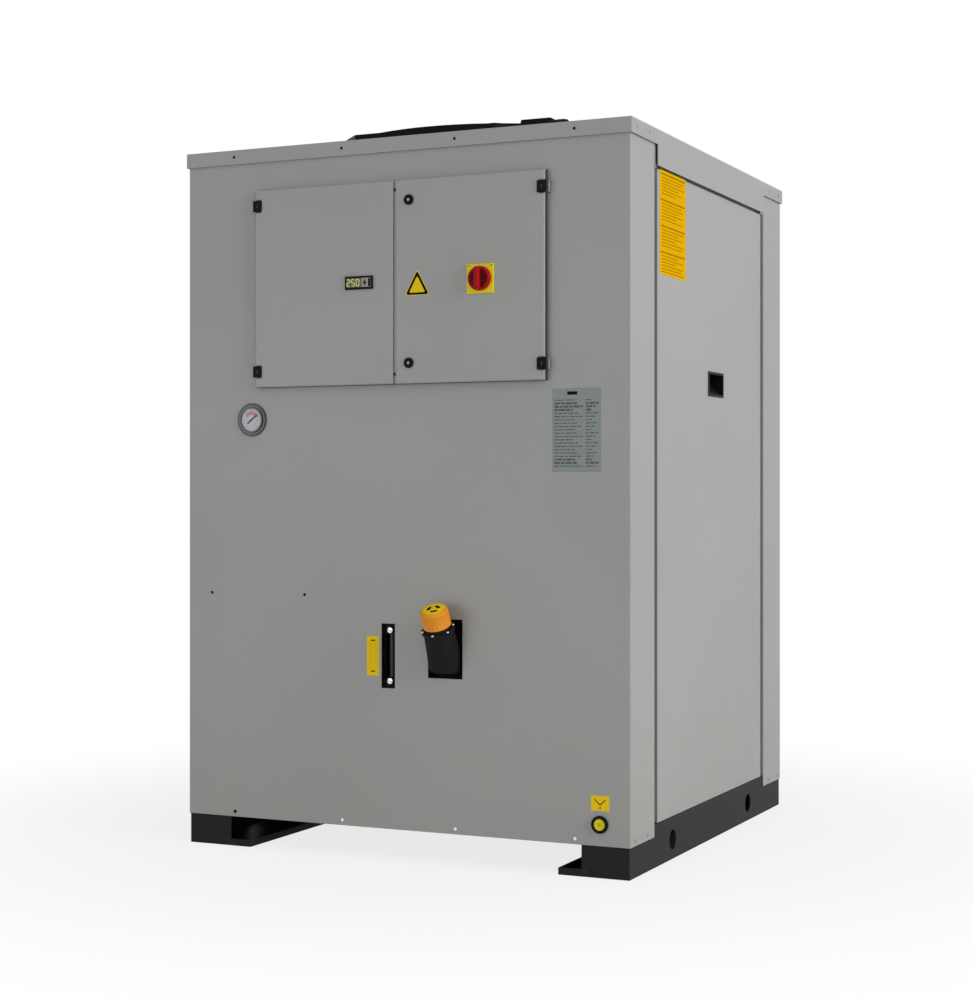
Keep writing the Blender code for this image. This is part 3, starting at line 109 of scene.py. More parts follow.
for sign, operation in (("add", "ADD"), ("sub", "SUBTRACT"), ("mul", "MULTIPLY"), ("truediv", "DIVIDE")):
    setattr(Wire, f"__{sign}__", lambda self, other, kind=operation: self._math(kind, self, other))
    setattr(Wire, f"__r{sign}__", lambda self, other, kind=operation: self._math(kind, other, self))
print("signs that add Math nodes: + - * / ** > <")


# %% [markdown]
# ## A finish
# One finish is one material. What is the same all over it is set on the Principled BSDF's own sockets. What
# varies is given to `paint` or `relief`: a colour, a roughness, or a height that a Bump node turns into
# small tilts of the surface.

# %% The finish
class Finish:
    def __init__(self, name, colour, roughness, metallic=0.0, **uniform):
        self.material = bpy.data.materials.new(name)
        self.material.use_nodes = True
        self.material.diffuse_color = (*colour, 1.0)
        self.tree = self.material.node_tree
        self.shader = self.tree.nodes["Principled BSDF"]
        self.colour = colour
        self.rough = roughness
        self.fill(self.shader.inputs["Base Color"], colour)
        self.fill(self.shader.inputs["Roughness"], roughness)
        self.fill(self.shader.inputs["Metallic"], metallic)
        for socket, value in uniform.items():
            self.fill(self.shader.inputs[socket.replace("_", " ").title().replace("Ior", "IOR")], value)

    def fill(self, socket, value):
        if isinstance(value, Wire):
            self.tree.links.new(value.socket, socket)
        elif isinstance(value, (tuple, list)):
            full = tuple(value) + (1.0,) if socket.type == "RGBA" and len(value) == 3 else tuple(value)
            socket.default_value = full
        else:
            socket.default_value = value

    def node(self, kind, settings, sockets, output=0):
        made = self.tree.nodes.new(kind)
        for setting, value in settings.items():
            setattr(made, setting, value)
        for socket, value in sockets.items():
            self.fill(made.inputs[socket], value)
        return Wire(self, made.outputs[output])

    def place(self):
        return self.node("ShaderNodeTexCoord", {}, {}, "Object")

    def axes(self):
        place = self.place()
        return [self.node("ShaderNodeSeparateXYZ", {}, {0: place}, letter) for letter in "XYZ"]

    def stretched(self, scale):
        return self.node("ShaderNodeMapping", {}, {"Vector": self.place(), "Scale": scale})

    def noise(self, scale, detail=2.0, vector=None, roughness=0.5):
        vector = vector or self.place()
        sockets = {"Vector": vector, "Scale": scale, "Detail": detail, "Roughness": roughness}
        return self.node("ShaderNodeTexNoise", {}, sockets, "Fac")

    def cells(self, scale, vector=None):
        sockets = {"Vector": vector or self.place(), "Scale": scale}
        return self.node("ShaderNodeTexVoronoi", {}, sockets, "Distance")

    def spread(self, value, low, high, to_low=0.0, to_high=1.0):
        sockets = {"Value": value, "From Min": low, "From Max": high, "To Min": to_low, "To Max": to_high}
        return self.node("ShaderNodeMapRange", {"interpolation_type": "SMOOTHSTEP"}, sockets)

    def mix(self, mask, first, second):
        return self.node("ShaderNodeMix", {"data_type": "RGBA"}, {0: mask, 6: first, 7: second}, 2)

    def stripes(self, value, pitch, share):
        return self.node("ShaderNodeMath", {"operation": "FRACT"}, {0: value / pitch}) < share

    def paint(self, colour=None, roughness=None):
        if colour is not None:
            self.fill(self.shader.inputs["Base Color"], colour)
        if roughness is not None:
            self.fill(self.shader.inputs["Roughness"], roughness)

    def relief(self, height, depth, strength=1.0, edge=0.0):
        sockets = {"Height": height, "Distance": depth, "Strength": strength}
        if edge:
            sockets["Normal"] = self.node("ShaderNodeBevel", {"samples": 4}, {"Radius": edge})
        self.fill(self.shader.inputs["Normal"], self.node("ShaderNodeBump", {}, sockets))


def tinted(colour, factor):
    return tuple(min(1.0, channel * factor) for channel in colour)


# %% [markdown]
# ## The cabinet's powder coat
# The sheets are powder coated in a light warm grey. Powder coat is never quite flat: it has a fine orange
# peel, about a millimetre across, which breaks the highlights. Over a metre the tone drifts a little, and a
# thin film of dust lies low down. A Bevel node rounds the folds' normals, as paint rounds a bent edge.

# %% Grey powder coat
GREY = (0.355, 0.362, 0.345)
coat = Finish("light_grey_powder_coat", GREY, 0.42)
drift = coat.noise(1.6, 3.0)
height_up = coat.axes()[2]
dust = coat.spread(height_up, 0.05, 0.55, 1.0, 0.0) * coat.spread(coat.noise(7.0, 5.0), 0.35, 0.75)
tone = coat.mix(coat.spread(drift, 0.3, 0.7), tinted(GREY, 0.975), tinted(GREY, 1.03))
DUST = (0.40, 0.385, 0.345)
coat.paint(coat.mix(dust * 0.22, tone, DUST), 0.40 + coat.noise(26.0, 3.0) * 0.07 + dust * 0.12)
coat.relief(coat.noise(820.0, 2.0) + coat.noise(210.0, 1.0) * 0.6, 0.00035, 0.35, edge=0.0016)
print("finish:", coat.material.name)

# %% [markdown]
# ## Dark paints
# The rails are a dark grey paint on rolled steel. Feet get scuffed, so the lowest centimetres are paler and
# rougher in patches. The roof's fan parts are black, and the frame inside is a dead dark paint that should
# read as shadow in the gaps beside the posts.

# %% Rail paint, black paint and inner paint
RAIL = (0.026, 0.026, 0.027)
rail_paint = Finish("dark_rail_paint", RAIL, 0.5, specular_ior_level=0.035)
scuff = rail_paint.spread(rail_paint.noise(34.0, 8.0, roughness=0.7), 0.56, 0.70)
low_down = rail_paint.spread(rail_paint.axes()[2], 0.0, 0.035, 1.0, 0.12)
worn = scuff * low_down
rail_paint.paint(rail_paint.mix(worn * 0.5, RAIL, (0.085, 0.082, 0.077)), 0.46 + worn * 0.25)
rail_paint.relief(rail_paint.noise(420.0, 3.0), 0.0004, 0.4, edge=0.0015)

black_paint = Finish("black_roof_paint", (0.007, 0.007, 0.008), 0.45, specular_ior_level=0.05)
film = black_paint.spread(black_paint.noise(11.0, 6.0), 0.40, 0.75)
soot_black = black_paint.mix(film * 0.25, (0.006, 0.006, 0.007), (0.016, 0.015, 0.014))
black_paint.paint(soot_black, 0.34 + film * 0.22)
black_paint.relief(black_paint.noise(600.0, 2.0), 0.0003, 0.35, edge=0.0008)

# The same dark paint also colours the painted shadow strips along the doors and the paler painted highlight
# strips on the hinge covers.
inner_paint = Finish("dark_inner_paint", (0.045, 0.045, 0.046), 0.62, specular_ior_level=0.2)
inner_paint.paint(inner_paint.mix(inner_paint.noise(9.0, 5.0), (0.040, 0.040, 0.041), (0.060, 0.058, 0.054)))
inner_paint.relief(inner_paint.noise(500.0, 2.0), 0.0003, 0.4)
print("finishes:", rail_paint.material.name, black_paint.material.name, inner_paint.material.name)

# %% [markdown]
# ## Moulded plastics
# Moulded housings have a spark-eroded grain: tiny pits of even size. A Voronoi pattern a third of a
# millimetre across gives them, and a slow noise changes the sheen where hands have polished it.


# %% A moulded plastic for each colour
def moulded(name, colour, roughness, grain=0.5, gloss=0.5):
    finish = Finish(name, colour, roughness, specular_ior_level=gloss)
    sheen = finish.noise(38.0, 4.0)
    two_tones = finish.mix(sheen, tinted(colour, 0.9), tinted(colour, 1.1))
    finish.paint(two_tones, roughness - 0.06 + sheen * 0.12)
    finish.relief(finish.cells(2600.0), 0.0002, grain, edge=0.0006)
    return finish


black_plastic = moulded("black_moulding", (0.008, 0.008, 0.009), 0.45, gloss=0.05)
chute_plastic = moulded("chute_moulding", (0.017, 0.017, 0.018), 0.50, gloss=0.04)
grey_plastic = moulded("grey_moulding", (0.40, 0.41, 0.41), 0.45)
yellow_plastic = moulded("yellow_moulding", (0.92, 0.76, 0.020), 0.36, 0.3, gloss=0.1)
red_plastic = moulded("red_moulding", (0.42, 0.006, 0.010), 0.32, 0.25, gloss=0.06)
# painted shade: this darker red only colours the shade on the sunk face of the switch's knob
red_painted_shade = moulded("red_moulding_painted_shade", (0.085, 0.002, 0.004), 0.36, 0.25, gloss=0.06)
orange_plastic = moulded("orange_moulding", (0.90, 0.335, 0.020), 0.45, gloss=0.25)
print("moulded colours: 7")

# %% [markdown]
# ## Bare and plated metals
# Zinc plate shows a crystal pattern and a faint blue and yellow cast. Stainless sheet is brushed along its
# length, so its noise is stretched. The gauge's bezel is a dark polished metal, and the brass pipe ends are
# turned, with fine circular marks.


# %% Zinc, stainless, bezel, brass, fin stock, copper and screws
zinc = Finish("zinc_plate", (0.62, 0.63, 0.64), 0.34, 1.0)
flake = zinc.node("ShaderNodeTexVoronoi", {}, {"Vector": zinc.place(), "Scale": 130.0}, "Color")
zinc.paint(zinc.mix(0.10, zinc.mix(zinc.noise(6.0), (0.58, 0.60, 0.63), (0.64, 0.63, 0.58)), flake),
           0.30 + zinc.noise(90.0, 3.0) * 0.14)
zinc.relief(zinc.noise(700.0, 2.0), 0.0002, 0.3, edge=0.0006)

stainless = Finish("brushed_stainless", (0.56, 0.56, 0.55), 0.3, 1.0)
grain = stainless.noise(60.0, 4.0, stainless.stretched((1.0, 1.0, 30.0)))
stainless.paint(stainless.mix(grain, (0.50, 0.50, 0.49), (0.62, 0.62, 0.61)), 0.24 + grain * 0.16)
stainless.relief(grain, 0.0002, 0.4)

chrome = Finish("polished_bezel", (0.055, 0.055, 0.058), 0.24, 1.0)
chrome.paint(roughness=0.16 + chrome.noise(120.0, 3.0) * 0.10)
chrome.relief(chrome.noise(900.0, 1.0), 0.0001, 0.15)

brass = Finish("machined_brass", (0.70, 0.50, 0.20), 0.28, 1.0)
tarnish = brass.spread(brass.noise(45.0, 5.0), 0.45, 0.75)
brass.paint(brass.mix(tarnish, (0.72, 0.52, 0.22), (0.42, 0.27, 0.12)), 0.22 + tarnish * 0.2)
turning = brass.stripes(brass.axes()[1], 0.0018, 0.5)
brass.relief(turning * 0.5 + brass.noise(500.0) * 0.3, 0.0003, 0.5)

fin_stock = Finish("fin_stock", (0.66, 0.67, 0.68), 0.38, 1.0)
soot = fin_stock.spread(fin_stock.noise(5.0, 6.0), 0.4, 0.8)
fin_stock.paint(fin_stock.mix(soot * 0.5, (0.66, 0.67, 0.68), (0.33, 0.31, 0.28)), 0.34 + soot * 0.25)
fin_stock.relief(fin_stock.noise(300.0, 2.0), 0.0002, 0.3)

copper = Finish("copper_tube", (0.72, 0.36, 0.22), 0.28, 1.0)
copper.paint(copper.mix(copper.noise(30.0, 5.0), (0.74, 0.38, 0.24), (0.45, 0.22, 0.14)))
copper.relief(copper.noise(400.0), 0.0002, 0.3)

steel_screw = Finish("plated_screw", (0.68, 0.68, 0.67), 0.26, 1.0)
steel_screw.paint(roughness=0.20 + steel_screw.noise(300.0, 3.0) * 0.16)
steel_screw.relief(steel_screw.noise(900.0, 2.0), 0.0001, 0.3)
print("metals: 7")

# %% [markdown]
# ## Clear and printed surfaces
# The gauge's pane and the sight tube are thin shells with an alpha below 1. The pane is mostly see-through,
# and the tube is smoked, so that the water in it hardly shows, as in the picture. Printed foil is a flat
# colour with a very fine paper grain, and it is never quite even, because it lies over powder coat.


# %% Clear pane, tube and printed foils
clear = Finish("clear_pane", (0.80, 0.85, 0.86), 0.05, alpha=0.07)
clear.paint(roughness=0.03 + clear.noise(60.0, 2.0) * 0.04)
SMOKE = (0.062, 0.058, 0.058)
smoked = Finish("smoked_tube", SMOKE, 0.10, alpha=0.85, specular_ior_level=0.2)
smoked.paint(roughness=0.07 + smoked.noise(70.0, 3.0) * 0.08)
water = Finish("sight_water", (0.030, 0.034, 0.035), 0.06, alpha=0.9)
water.paint(water.mix(water.noise(30.0), (0.026, 0.030, 0.031), (0.040, 0.044, 0.045)))


def foil(name, colour, roughness=0.42, metallic=0.0):
    finish = Finish(name, colour, roughness, metallic, specular_ior_level=0.0)
    fibre = finish.noise(420.0, 3.0)
    two_tones = finish.mix(fibre, tinted(colour, 0.95), tinted(colour, 1.05))
    finish.paint(two_tones, roughness - 0.04 + fibre * 0.08)
    finish.relief(finish.noise(650.0, 2.0), 0.0001, 0.3)
    return finish


amber_foil = foil("amber_foil", (0.84, 0.46, 0.002))
brown_ink = foil("brown_ink", (0.16, 0.080, 0.012))
amber_ink = foil("dark_amber_ink", (0.44, 0.21, 0.004))
black_ink = foil("black_ink", (0.012, 0.012, 0.012), 0.5)
grey_ink = foil("grey_ink", (0.110, 0.122, 0.122), 0.5)
red_ink = foil("red_ink", (0.60, 0.27, 0.31), 0.5)
white_dial = foil("white_dial", (0.68, 0.66, 0.71), 0.4)
silver_foil = foil("silver_foil", (0.265, 0.290, 0.290), 0.36, 0.1)
yellow_foil = foil("yellow_foil", (1.0, 0.68, 0.020))
white_key = foil("pale_key", (0.40, 0.40, 0.39), 0.5)
print("foils and inks: 10")

# %% [markdown]
# ## The display's digits
# The controller's digits glow in amber behind dark plastic. The glow is an emission of its own, a little
# above the level of the room, so the digits read without lighting anything else.

# %% Glowing digits and the screen
GLOW = (0.56, 0.54, 0.04)
glow = Finish("amber_digits", (0.26, 0.25, 0.02), 0.4, emission_color=GLOW, emission_strength=0.65)
glow.relief(glow.noise(900.0), 0.0001, 0.1)
screen_dark = Finish("dark_screen", (0.008, 0.008, 0.009), 0.12)
screen_dark.paint(roughness=0.08 + screen_dark.noise(80.0, 3.0) * 0.08)
print("display finishes made")

# %% [markdown]
# ## Finishes on the frame's solids
# Each solid that stays visible keeps its own mesh and only gets a better material. The list says which
# finish each one has on the real machine. Solids that a piece stands in for are left out.

# %% Dress the solids
DRESS = {
    coat: ["front_panel", "rear_panel", "right_access_panel", "coil_guard", "roof_lid"],
    rail_paint: ["left_base_rail", "right_base_rail"],
    inner_paint: ["base_pan", "front_left_upright", "front_right_upright", "rear_left_upright",
                  "rear_right_upright"],
    black_paint: ["fan_plate", "fan_guard", "fan_motor"],
    black_plastic: ["fan_impeller", "side_grip_cup", "upper_lock_ring", "lower_lock_ring",
                    "upper_lock_core", "lower_lock_core", "controller", "drain_bushing", "contactor_row"],
    grey_plastic: ["breaker_row"],
    yellow_plastic: ["switch_plate", "drain_plug"],
    red_plastic: ["switch_handle"],
    zinc: ["electrical_box"],
    stainless: ["water_tank"],
    chrome: ["pressure_gauge"],
    brass: ["water_inlet", "water_outlet"],
}
for finish, names in DRESS.items():
    for name in names:
        node = frame["nodes"][name]
        node.data.materials.clear()
        node.data.materials.append(finish.material)
print("dressed:", sum(len(names) for names in DRESS.values()), "solids")

# %% [markdown]
# ## Pieces that face one way
# Most small pieces lie flat on a face. They are drawn on a table, with X to the right, Y up and Z towards
# the reader, and then stood on their face by one matrix. That keeps the numbers small and easy to check
# against a ruler.

# %% Standing a drawing on a face
FACING = {
    "front": Matrix(((1, 0, 0), (0, 0, -1), (0, 1, 0))),
    "right": Matrix(((0, 0, 1), (1, 0, 0), (0, 1, 0))),
    "rear": Matrix(((-1, 0, 0), (0, 0, 1), (0, 1, 0))),
    "left": Matrix(((0, 0, -1), (-1, 0, 0), (0, 1, 0))),
    "up": Matrix(((1, 0, 0), (0, 1, 0), (0, 0, 1))),
}


def stand(point, facing):
    return Matrix.Translation(Vector(point)) @ FACING[facing].to_4x4()


def piece(name, bm, finish, body="cabinet", at=None):
    bmesh.ops.recalc_face_normals(bm, faces=bm.faces)
    if at is not None:
        bmesh.ops.transform(bm, matrix=at, verts=bm.verts)
    mesh = bpy.data.meshes.new(name)
    bm.to_mesh(mesh)
    bm.free()
    mesh.materials.append(finish.material)
    mesh.shade_smooth()
    mesh.set_sharp_from_angle(angle=math.radians(35))
    made = bpy.data.objects.new(name, mesh)
    bpy.context.scene.collection.objects.link(made)
    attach(made, body)
    return made


# %% [markdown]
# ## Ways to make a small solid
# A plate is an outline with a thickness and a slightly smaller top, so that its edge catches the light. A
# turned piece is a profile that goes round an axis, as on a lathe. A bar joins two points, a block two
# corners, and an arc is a run of thin plates round a centre. All of them skin a stack of rings.


# %% Outlines, plates and turned pieces
def skin(rings, bm=None, capped=True, at=None):
    bm = bm or bmesh.new()
    rows = []
    for ring in rings:
        points = [at @ Vector(p) if at is not None else Vector(p) for p in ring]
        rows.append([bm.verts.new(p) for p in points])
    count = len(rows[0])
    for low, high in zip(rows, rows[1:]):
        for i in range(count):
            bm.faces.new((low[i], low[(i + 1) % count], high[(i + 1) % count], high[i]))
    if capped:
        bm.faces.new(rows[0])
        bm.faces.new(rows[-1])
    return bm


def rounded(width, height, corner, steps=4, centre=(0.0, 0.0)):
    points = []
    for sx, sy, start in ((1, 1, 0), (-1, 1, 1), (-1, -1, 2), (1, -1, 3)):
        for step in range(steps + 1):
            turn = math.pi / 2 * (start + step / steps)
            points.append((centre[0] + sx * (width / 2 - corner) + corner * math.cos(turn),
                           centre[1] + sy * (height / 2 - corner) + corner * math.sin(turn)))
    return points


def plate(outline, thickness, low=0.0, edge=0.0, bm=None, at=None):
    cx = sum(p[0] for p in outline) / len(outline)
    cy = sum(p[1] for p in outline) / len(outline)
    rings = [[(x, y, low) for x, y in outline], [(x, y, low + thickness - edge) for x, y in outline]]
    if edge:
        reach = max(math.hypot(x - cx, y - cy) for x, y in outline)
        share = 1 - edge / reach
        rings.append([(cx + (x - cx) * share, cy + (y - cy) * share, low + thickness) for x, y in outline])
    return skin(rings, bm, at=at)


def turned(profile, steps=24, bm=None, capped=True, at=None):
    turns = [2 * math.pi * i / steps for i in range(steps)]
    rings = [[(radius * math.cos(turn), radius * math.sin(turn), height) for turn in turns]
             for radius, height in profile]
    return skin(rings, bm, capped, at)


def block(low, high, bm=None, at=None):
    (x0, y0, z0), (x1, y1, z1) = low, high
    return skin([[(x0, y0, z), (x1, y0, z), (x1, y1, z), (x0, y1, z)] for z in (z0, z1)], bm, at=at)


def arc(inner, outer, start, sweep, steps, low, bm, at):
    turns = [math.radians(start + sweep * step / steps) for step in range(steps + 1)]
    for a, b in zip(turns, turns[1:]):
        ring = [(inner * math.cos(a), inner * math.sin(a)), (outer * math.cos(a), outer * math.sin(a)),
                (outer * math.cos(b), outer * math.sin(b)), (inner * math.cos(b), inner * math.sin(b))]
        plate(ring, 0.0001, low=low, bm=bm, at=at)


def bar(a, b, width, low, high, bm=None, at=None):
    a, b = Vector(a), Vector(b)
    side = (b - a).normalized().orthogonal() * width / 2
    outline = [tuple(a + side), tuple(b + side), tuple(b - side), tuple(a - side)]
    return skin([[(x, y, low) for x, y in outline], [(x, y, high) for x, y in outline]], bm, at=at)


print("helpers ready")

# %% [markdown]
# ## Screws and rivets
# The lid is held by flat domed screws at four stations on every side, and the wrap panels by rivets just
# above their lower edge at the same stations. They are turned heads with a round pit, 7 and 9 mm across. The
# screws on the lid's front and rear rims are black. All heads on the two sides were painted over.

# %% Heads on the lid and along the panels' lower edge
HEAD = [(0.0046, 0.0), (0.0046, 0.0008), (0.0040, 0.0018), (0.0026, 0.0024), (0.0022, 0.0024),
        (0.0020, 0.0012)]
SCREW_SIZE = 0.76
FRONT_STATIONS = (-0.475, -0.158, 0.158, 0.475)
SIDE_STATIONS = (0.040, 0.125, DEPTH - 0.125, DEPTH - 0.040)
SCREW_Z = lid_high.z - 0.018
RIVET_Z = panel_low.z + 0.0130


def head(bm, point, facing, size=1.0):
    turned([(radius * size, height * size) for radius, height in HEAD], 12, bm, at=stand(point, facing))


screws, painted, rivets, black_rivet = (bmesh.new() for _ in range(4))
for x in FRONT_STATIONS:
    head(screws, (x, LID_FRONT, SCREW_Z), "front", SCREW_SIZE)
    head(screws, (-x, lid_high.y, SCREW_Z), "rear", SCREW_SIZE)
    head(black_rivet if x < -0.4 else rivets, (x, PANEL_FACE, RIVET_Z), "front")
    head(rivets, (-x, rear_high.y, RIVET_Z), "rear")
for y in SIDE_STATIONS:
    head(painted, (lid_high.x, LID_FRONT + y, SCREW_Z), "right", SCREW_SIZE)
    head(painted, (lid_low.x, LID_FRONT + y, SCREW_Z), "left", SCREW_SIZE)
    head(painted, (POST_FACE, LID_FRONT + y, RIVET_Z), "right")
    head(painted, (-POST_FACE, LID_FRONT + y, RIVET_Z), "left")
piece("lid_screws", screws, black_paint)
piece("painted_side_heads", painted, coat)
piece("panel_rivets", rivets, steel_screw)
piece("replaced_rivet", black_rivet, black_paint)
print("screws and rivets:", 2 * len(FRONT_STATIONS) * 2 + 2 * len(SIDE_STATIONS) * 2)

# %% [markdown]
# ## Two blind rivets on the front
# Two small dark rivets hold the tank's bracket behind the front sheet. They are flatter than the screws.

# %% Bracket rivets
blind = bmesh.new()
for x in (-0.545, -0.268):
    turned([(0.0040, 0.0), (0.0036, 0.0009), (0.0014, 0.0011), (0.0012, 0.0004)], 12, blind,
           at=stand((x, PANEL_FACE, 0.655), "front"))
piece("bracket_rivets", blind, black_paint)
print("bracket rivets: 2")

# %% [markdown]
# ## The column of foil plates on the side
# Four amber foils are stuck one above another at the side panel's upper front corner. They stay without
# words: each is a bare plate with a bar at its head and rows of short dashes, as dummy text has.

# %% Amber foils
FOIL_WIDTH = 0.193
FOIL_TOP = 1.7085
FOIL_STEP = 0.0643
foil_y = LID_FRONT + 0.2155 + FOIL_WIDTH / 2


def dashes(bm, start, end, y, width, low, seed, at):
    x = start
    step = 0
    while x < end - 0.004:
        length = 0.005 + 0.011 * ((seed * 7 + step * 5) % 9) / 8
        stop = min(x + length, end)
        bar((x, y), (stop, y), width, low, low + 0.00006, bm, at)
        x = stop + 0.0026
        step += 1


column, rules, text = (bmesh.new() for _ in range(3))
for row in range(4):
    z = FOIL_TOP - FOIL_STEP * (row + 0.5)
    at = stand((SIDE_FACE, foil_y, z), "right")
    plate(rounded(FOIL_WIDTH, FOIL_STEP - 0.0004, 0.002), 0.0003, bm=column, at=at)
    bar((-0.090, 0.0235), (0.090, 0.0235), 0.0042, 0.0003, 0.00036, rules, at)
    for line in range(6):
        reach = (0.078, 0.066, 0.082, 0.040, 0.074, 0.020)[(line + row) % 6]
        dashes(text, -0.082, reach, 0.0145 - line * 0.0078, 0.0030, 0.0003, row * 6 + line, at)
piece("side_foils", column, amber_foil)
piece("side_foil_bars", rules, amber_ink)
piece("side_foil_dashes", text, amber_ink)
print("side foils: 4")

# %% [markdown]
# ## Foils on the front
# A silver rating plate lies right of the doors, a narrow yellow foil beside the level window, a small one
# over the drain and a yellow triangle on the right door. All are bare or carry only ruled lines.

# %% Rating plate, level foil, drain foil
at = stand((0.4785, PANEL_FACE, 1.0635), "front")
piece("rating_plate", plate(rounded(0.125, 0.200, 0.003), 0.0004, edge=0.0001), silver_foil, at=at)
header = bar((-0.024, 0.0885), (0.002, 0.0885), 0.0080, 0.0004, 0.00045, at=at)
piece("rating_plate_header", header, black_ink)
rules = bmesh.new()
for line in range(21):
    y = 0.072 - line * 0.0079
    thick = 0.0046 if line in (1, 2, 3, 18, 19) else 0.0024
    dashes(rules, -0.057, -0.004 + 0.010 * (line % 3), y, thick, 0.0004, line, at)
    dashes(rules, 0.024, 0.040 + 0.008 * ((line * 2) % 3), y, thick, 0.0004, line + 3, at)
piece("rating_plate_dashes", rules, grey_ink)
at = stand((-0.071, PANEL_FACE, 0.5065), "front")
piece("level_foil", plate(rounded(0.034, 0.099, 0.002), 0.0003), yellow_foil, at=at)
marks = bmesh.new()
for y in (-0.0385, 0.0385):
    bar((-0.0060, y), (0.0060, y), 0.0034, 0.0003, 0.00035, marks, at)
piece("level_foil_mark", marks, brown_ink)
specks = bmesh.new()
for x in (-0.0085, 0.0085):
    for step in range(12):
        y = 0.030 - step * 0.0054
        bar((x - 0.0012, y), (x + 0.0012, y), 0.0018, 0.0003, 0.00035, specks, at)
piece("level_foil_specks", specks, amber_foil)
at = stand((0.5388, PANEL_FACE, 0.178), "front")
piece("drain_foil", plate(rounded(0.0465, 0.036, 0.002), 0.0003), yellow_foil, at=at)
marks = bar((-0.014, 0.009), (0.0, -0.004), 0.0026, 0.0003, 0.00035, at=at)
bar((0.014, 0.009), (0.0, -0.004), 0.0026, 0.0003, 0.00036, marks, at)
turned([(0.0022, 0.0003), (0.0022, 0.00036)], 12, marks, at=at @ Matrix.Translation((0.0, -0.011, 0.0)))
piece("drain_foil_mark", marks, brown_ink)
print("front foils: 3")


# %% The plain triangle on the right door
def triangle(base, corner, steps=3):
    rise = base * 0.92
    reach = base / 2 - corner * 1.73
    inset = [(-reach, corner), (reach, corner), (0.0, rise - corner * 2)]
    points = []
    for index, (cx, cy) in enumerate(inset):
        start = (-5 / 6, -1 / 2, 1 / 6)[index] * math.pi
        for step in range(steps + 1):
            turn = start + (2 / 3 * math.pi) * step / steps - (0 if index else math.pi / 3)
            points.append((cx + corner * math.cos(turn), cy + corner * math.sin(turn)))
    return points


at = stand((0.0622, DOOR_FACE, 1.4020), "front")
for name, base, rise, layer, finish in (("border", 0.0700, -0.0010, 0.0, yellow_foil),
                                        ("ring", 0.0640, 0.0007, 0.0003, black_ink),
                                        ("face", 0.0445, 0.0060, 0.0004, yellow_foil)):
    lift = Matrix.Translation((0.0, rise, 0.0))
    sheet = plate(triangle(base, base * 0.055), 0.0002, low=layer)
    piece(f"triangle_{name}", sheet, finish, "right_door_body", at @ lift)
print("triangle made of three foils")

# %% [markdown]
# ## The pressure gauge
# Behind its pane the gauge has a white dial with a printed scale, plain numbers and a red band over its
# upper half. The needle turns on a hub in the middle. The marks are thin raised bars, 0.1 mm high, so that
# they keep their edge at any size.

# %% Dial, scale, band and needle
gauge = middle("pressure_gauge")
dial_at = stand((gauge.x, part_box("pressure_gauge")[0].y + 0.0040, gauge.z), "front")
piece("dial_face", turned([(0.0292, 0.0), (0.0292, 0.0004)], 48), white_dial, at=dial_at)
SCALE_START = 225
TICKS = 31
scale = bmesh.new()
for tick in range(TICKS):
    turn = math.radians(SCALE_START - tick * 9)
    out = Vector((math.cos(turn), math.sin(turn)))
    inner, width = (0.0222, 0.0008) if tick % 5 == 0 else (0.0246, 0.0004)
    bar(tuple(out * inner), tuple(out * 0.0272), width, 0.0004, 0.0005, scale, dial_at)
piece("dial_scale", scale, black_ink)
band = bmesh.new()
arc(0.0130, 0.0214, 150, -132, 22, 0.0004, band, dial_at)
piece("dial_band", band, red_ink)
NEEDLE_TURN = math.radians(38)
point = Vector((math.cos(NEEDLE_TURN), math.sin(NEEDLE_TURN)))
needle = bar(tuple(-0.0150 * point), tuple(0.0210 * point), 0.0042, 0.0009, 0.0013, at=dial_at)
turned([(0.0030, 0.0005), (0.0030, 0.0016), (0.0020, 0.0022)], 16, needle, at=dial_at)
piece("dial_needle", needle, black_ink)
piece("dial_pane", turned([(0.0300, 0.0029), (0.0300, 0.0036), (0.0200, 0.0038)], 48), clear, at=dial_at)
print("gauge dial with", TICKS, "ticks")


# %% Numbers on the dial and words on the switch
def words(name, text, size, finish, body, at, lift):
    curve = bpy.data.curves.new(name, "FONT")
    curve.body = text
    curve.size = size
    curve.align_x = "CENTER"
    curve.align_y = "CENTER"
    curve.extrude = 0.00003
    curve.materials.append(finish.material)
    made = bpy.data.objects.new(name, curve)
    bpy.context.scene.collection.objects.link(made)
    made.matrix_world = at @ Matrix.Translation((0.0, 0.0, lift))
    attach(made, body)
    return made


for index, number in enumerate((0, 2, 4, 6, 8, 10, 12)):
    turn = math.radians(SCALE_START - index * 45)
    spot = Matrix.Translation((0.0160 * math.cos(turn), 0.0160 * math.sin(turn), 0.0))
    words(f"dial_number_{number}", str(number), 0.0052, black_ink, "cabinet", dial_at @ spot, 0.00045)
switch = middle("switch_plate")
switch_at = stand((switch.x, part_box("switch_plate")[0].y, switch.z), "front")
for name, text, x in (("switch_on", "ON", 0.0298), ("switch_off", "OFF", -0.0292)):
    spot = switch_at @ Matrix.Translation((x, 0.0310, 0.0))
    words(name, text, 0.0058, black_ink, "right_door_body", spot, 0.00004)
print("numbers: 7, words: ON and OFF")

# %% [markdown]
# ## Locks and the switch's knob
# Each lock has a pale insert in its black core. The knob of the main switch is a bright red rim and grip
# round a sunk face. The shade in that sunk face is painted: a thin dark red disc lies on the knob's face,
# and the grip stands through it.

# %% Keyway inserts and the knob's painted shade disc
for name in ("upper", "lower"):
    core = middle(f"{name}_lock_core")
    at = stand((core.x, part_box(f"{name}_lock_core")[0].y, core.z), "front")
    insert = turned([(0.0036, 0.0), (0.0036, 0.0008), (0.0030, 0.0011)], 20, at=at)
    piece(f"{name}_lock_insert", insert, grey_plastic, f"{name}_lock")
GRIP_RISE = 0.016
knob = middle("switch_handle")
knob_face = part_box("switch_handle")[0].y + GRIP_RISE
at = stand((knob.x, knob_face, knob.z), "front")
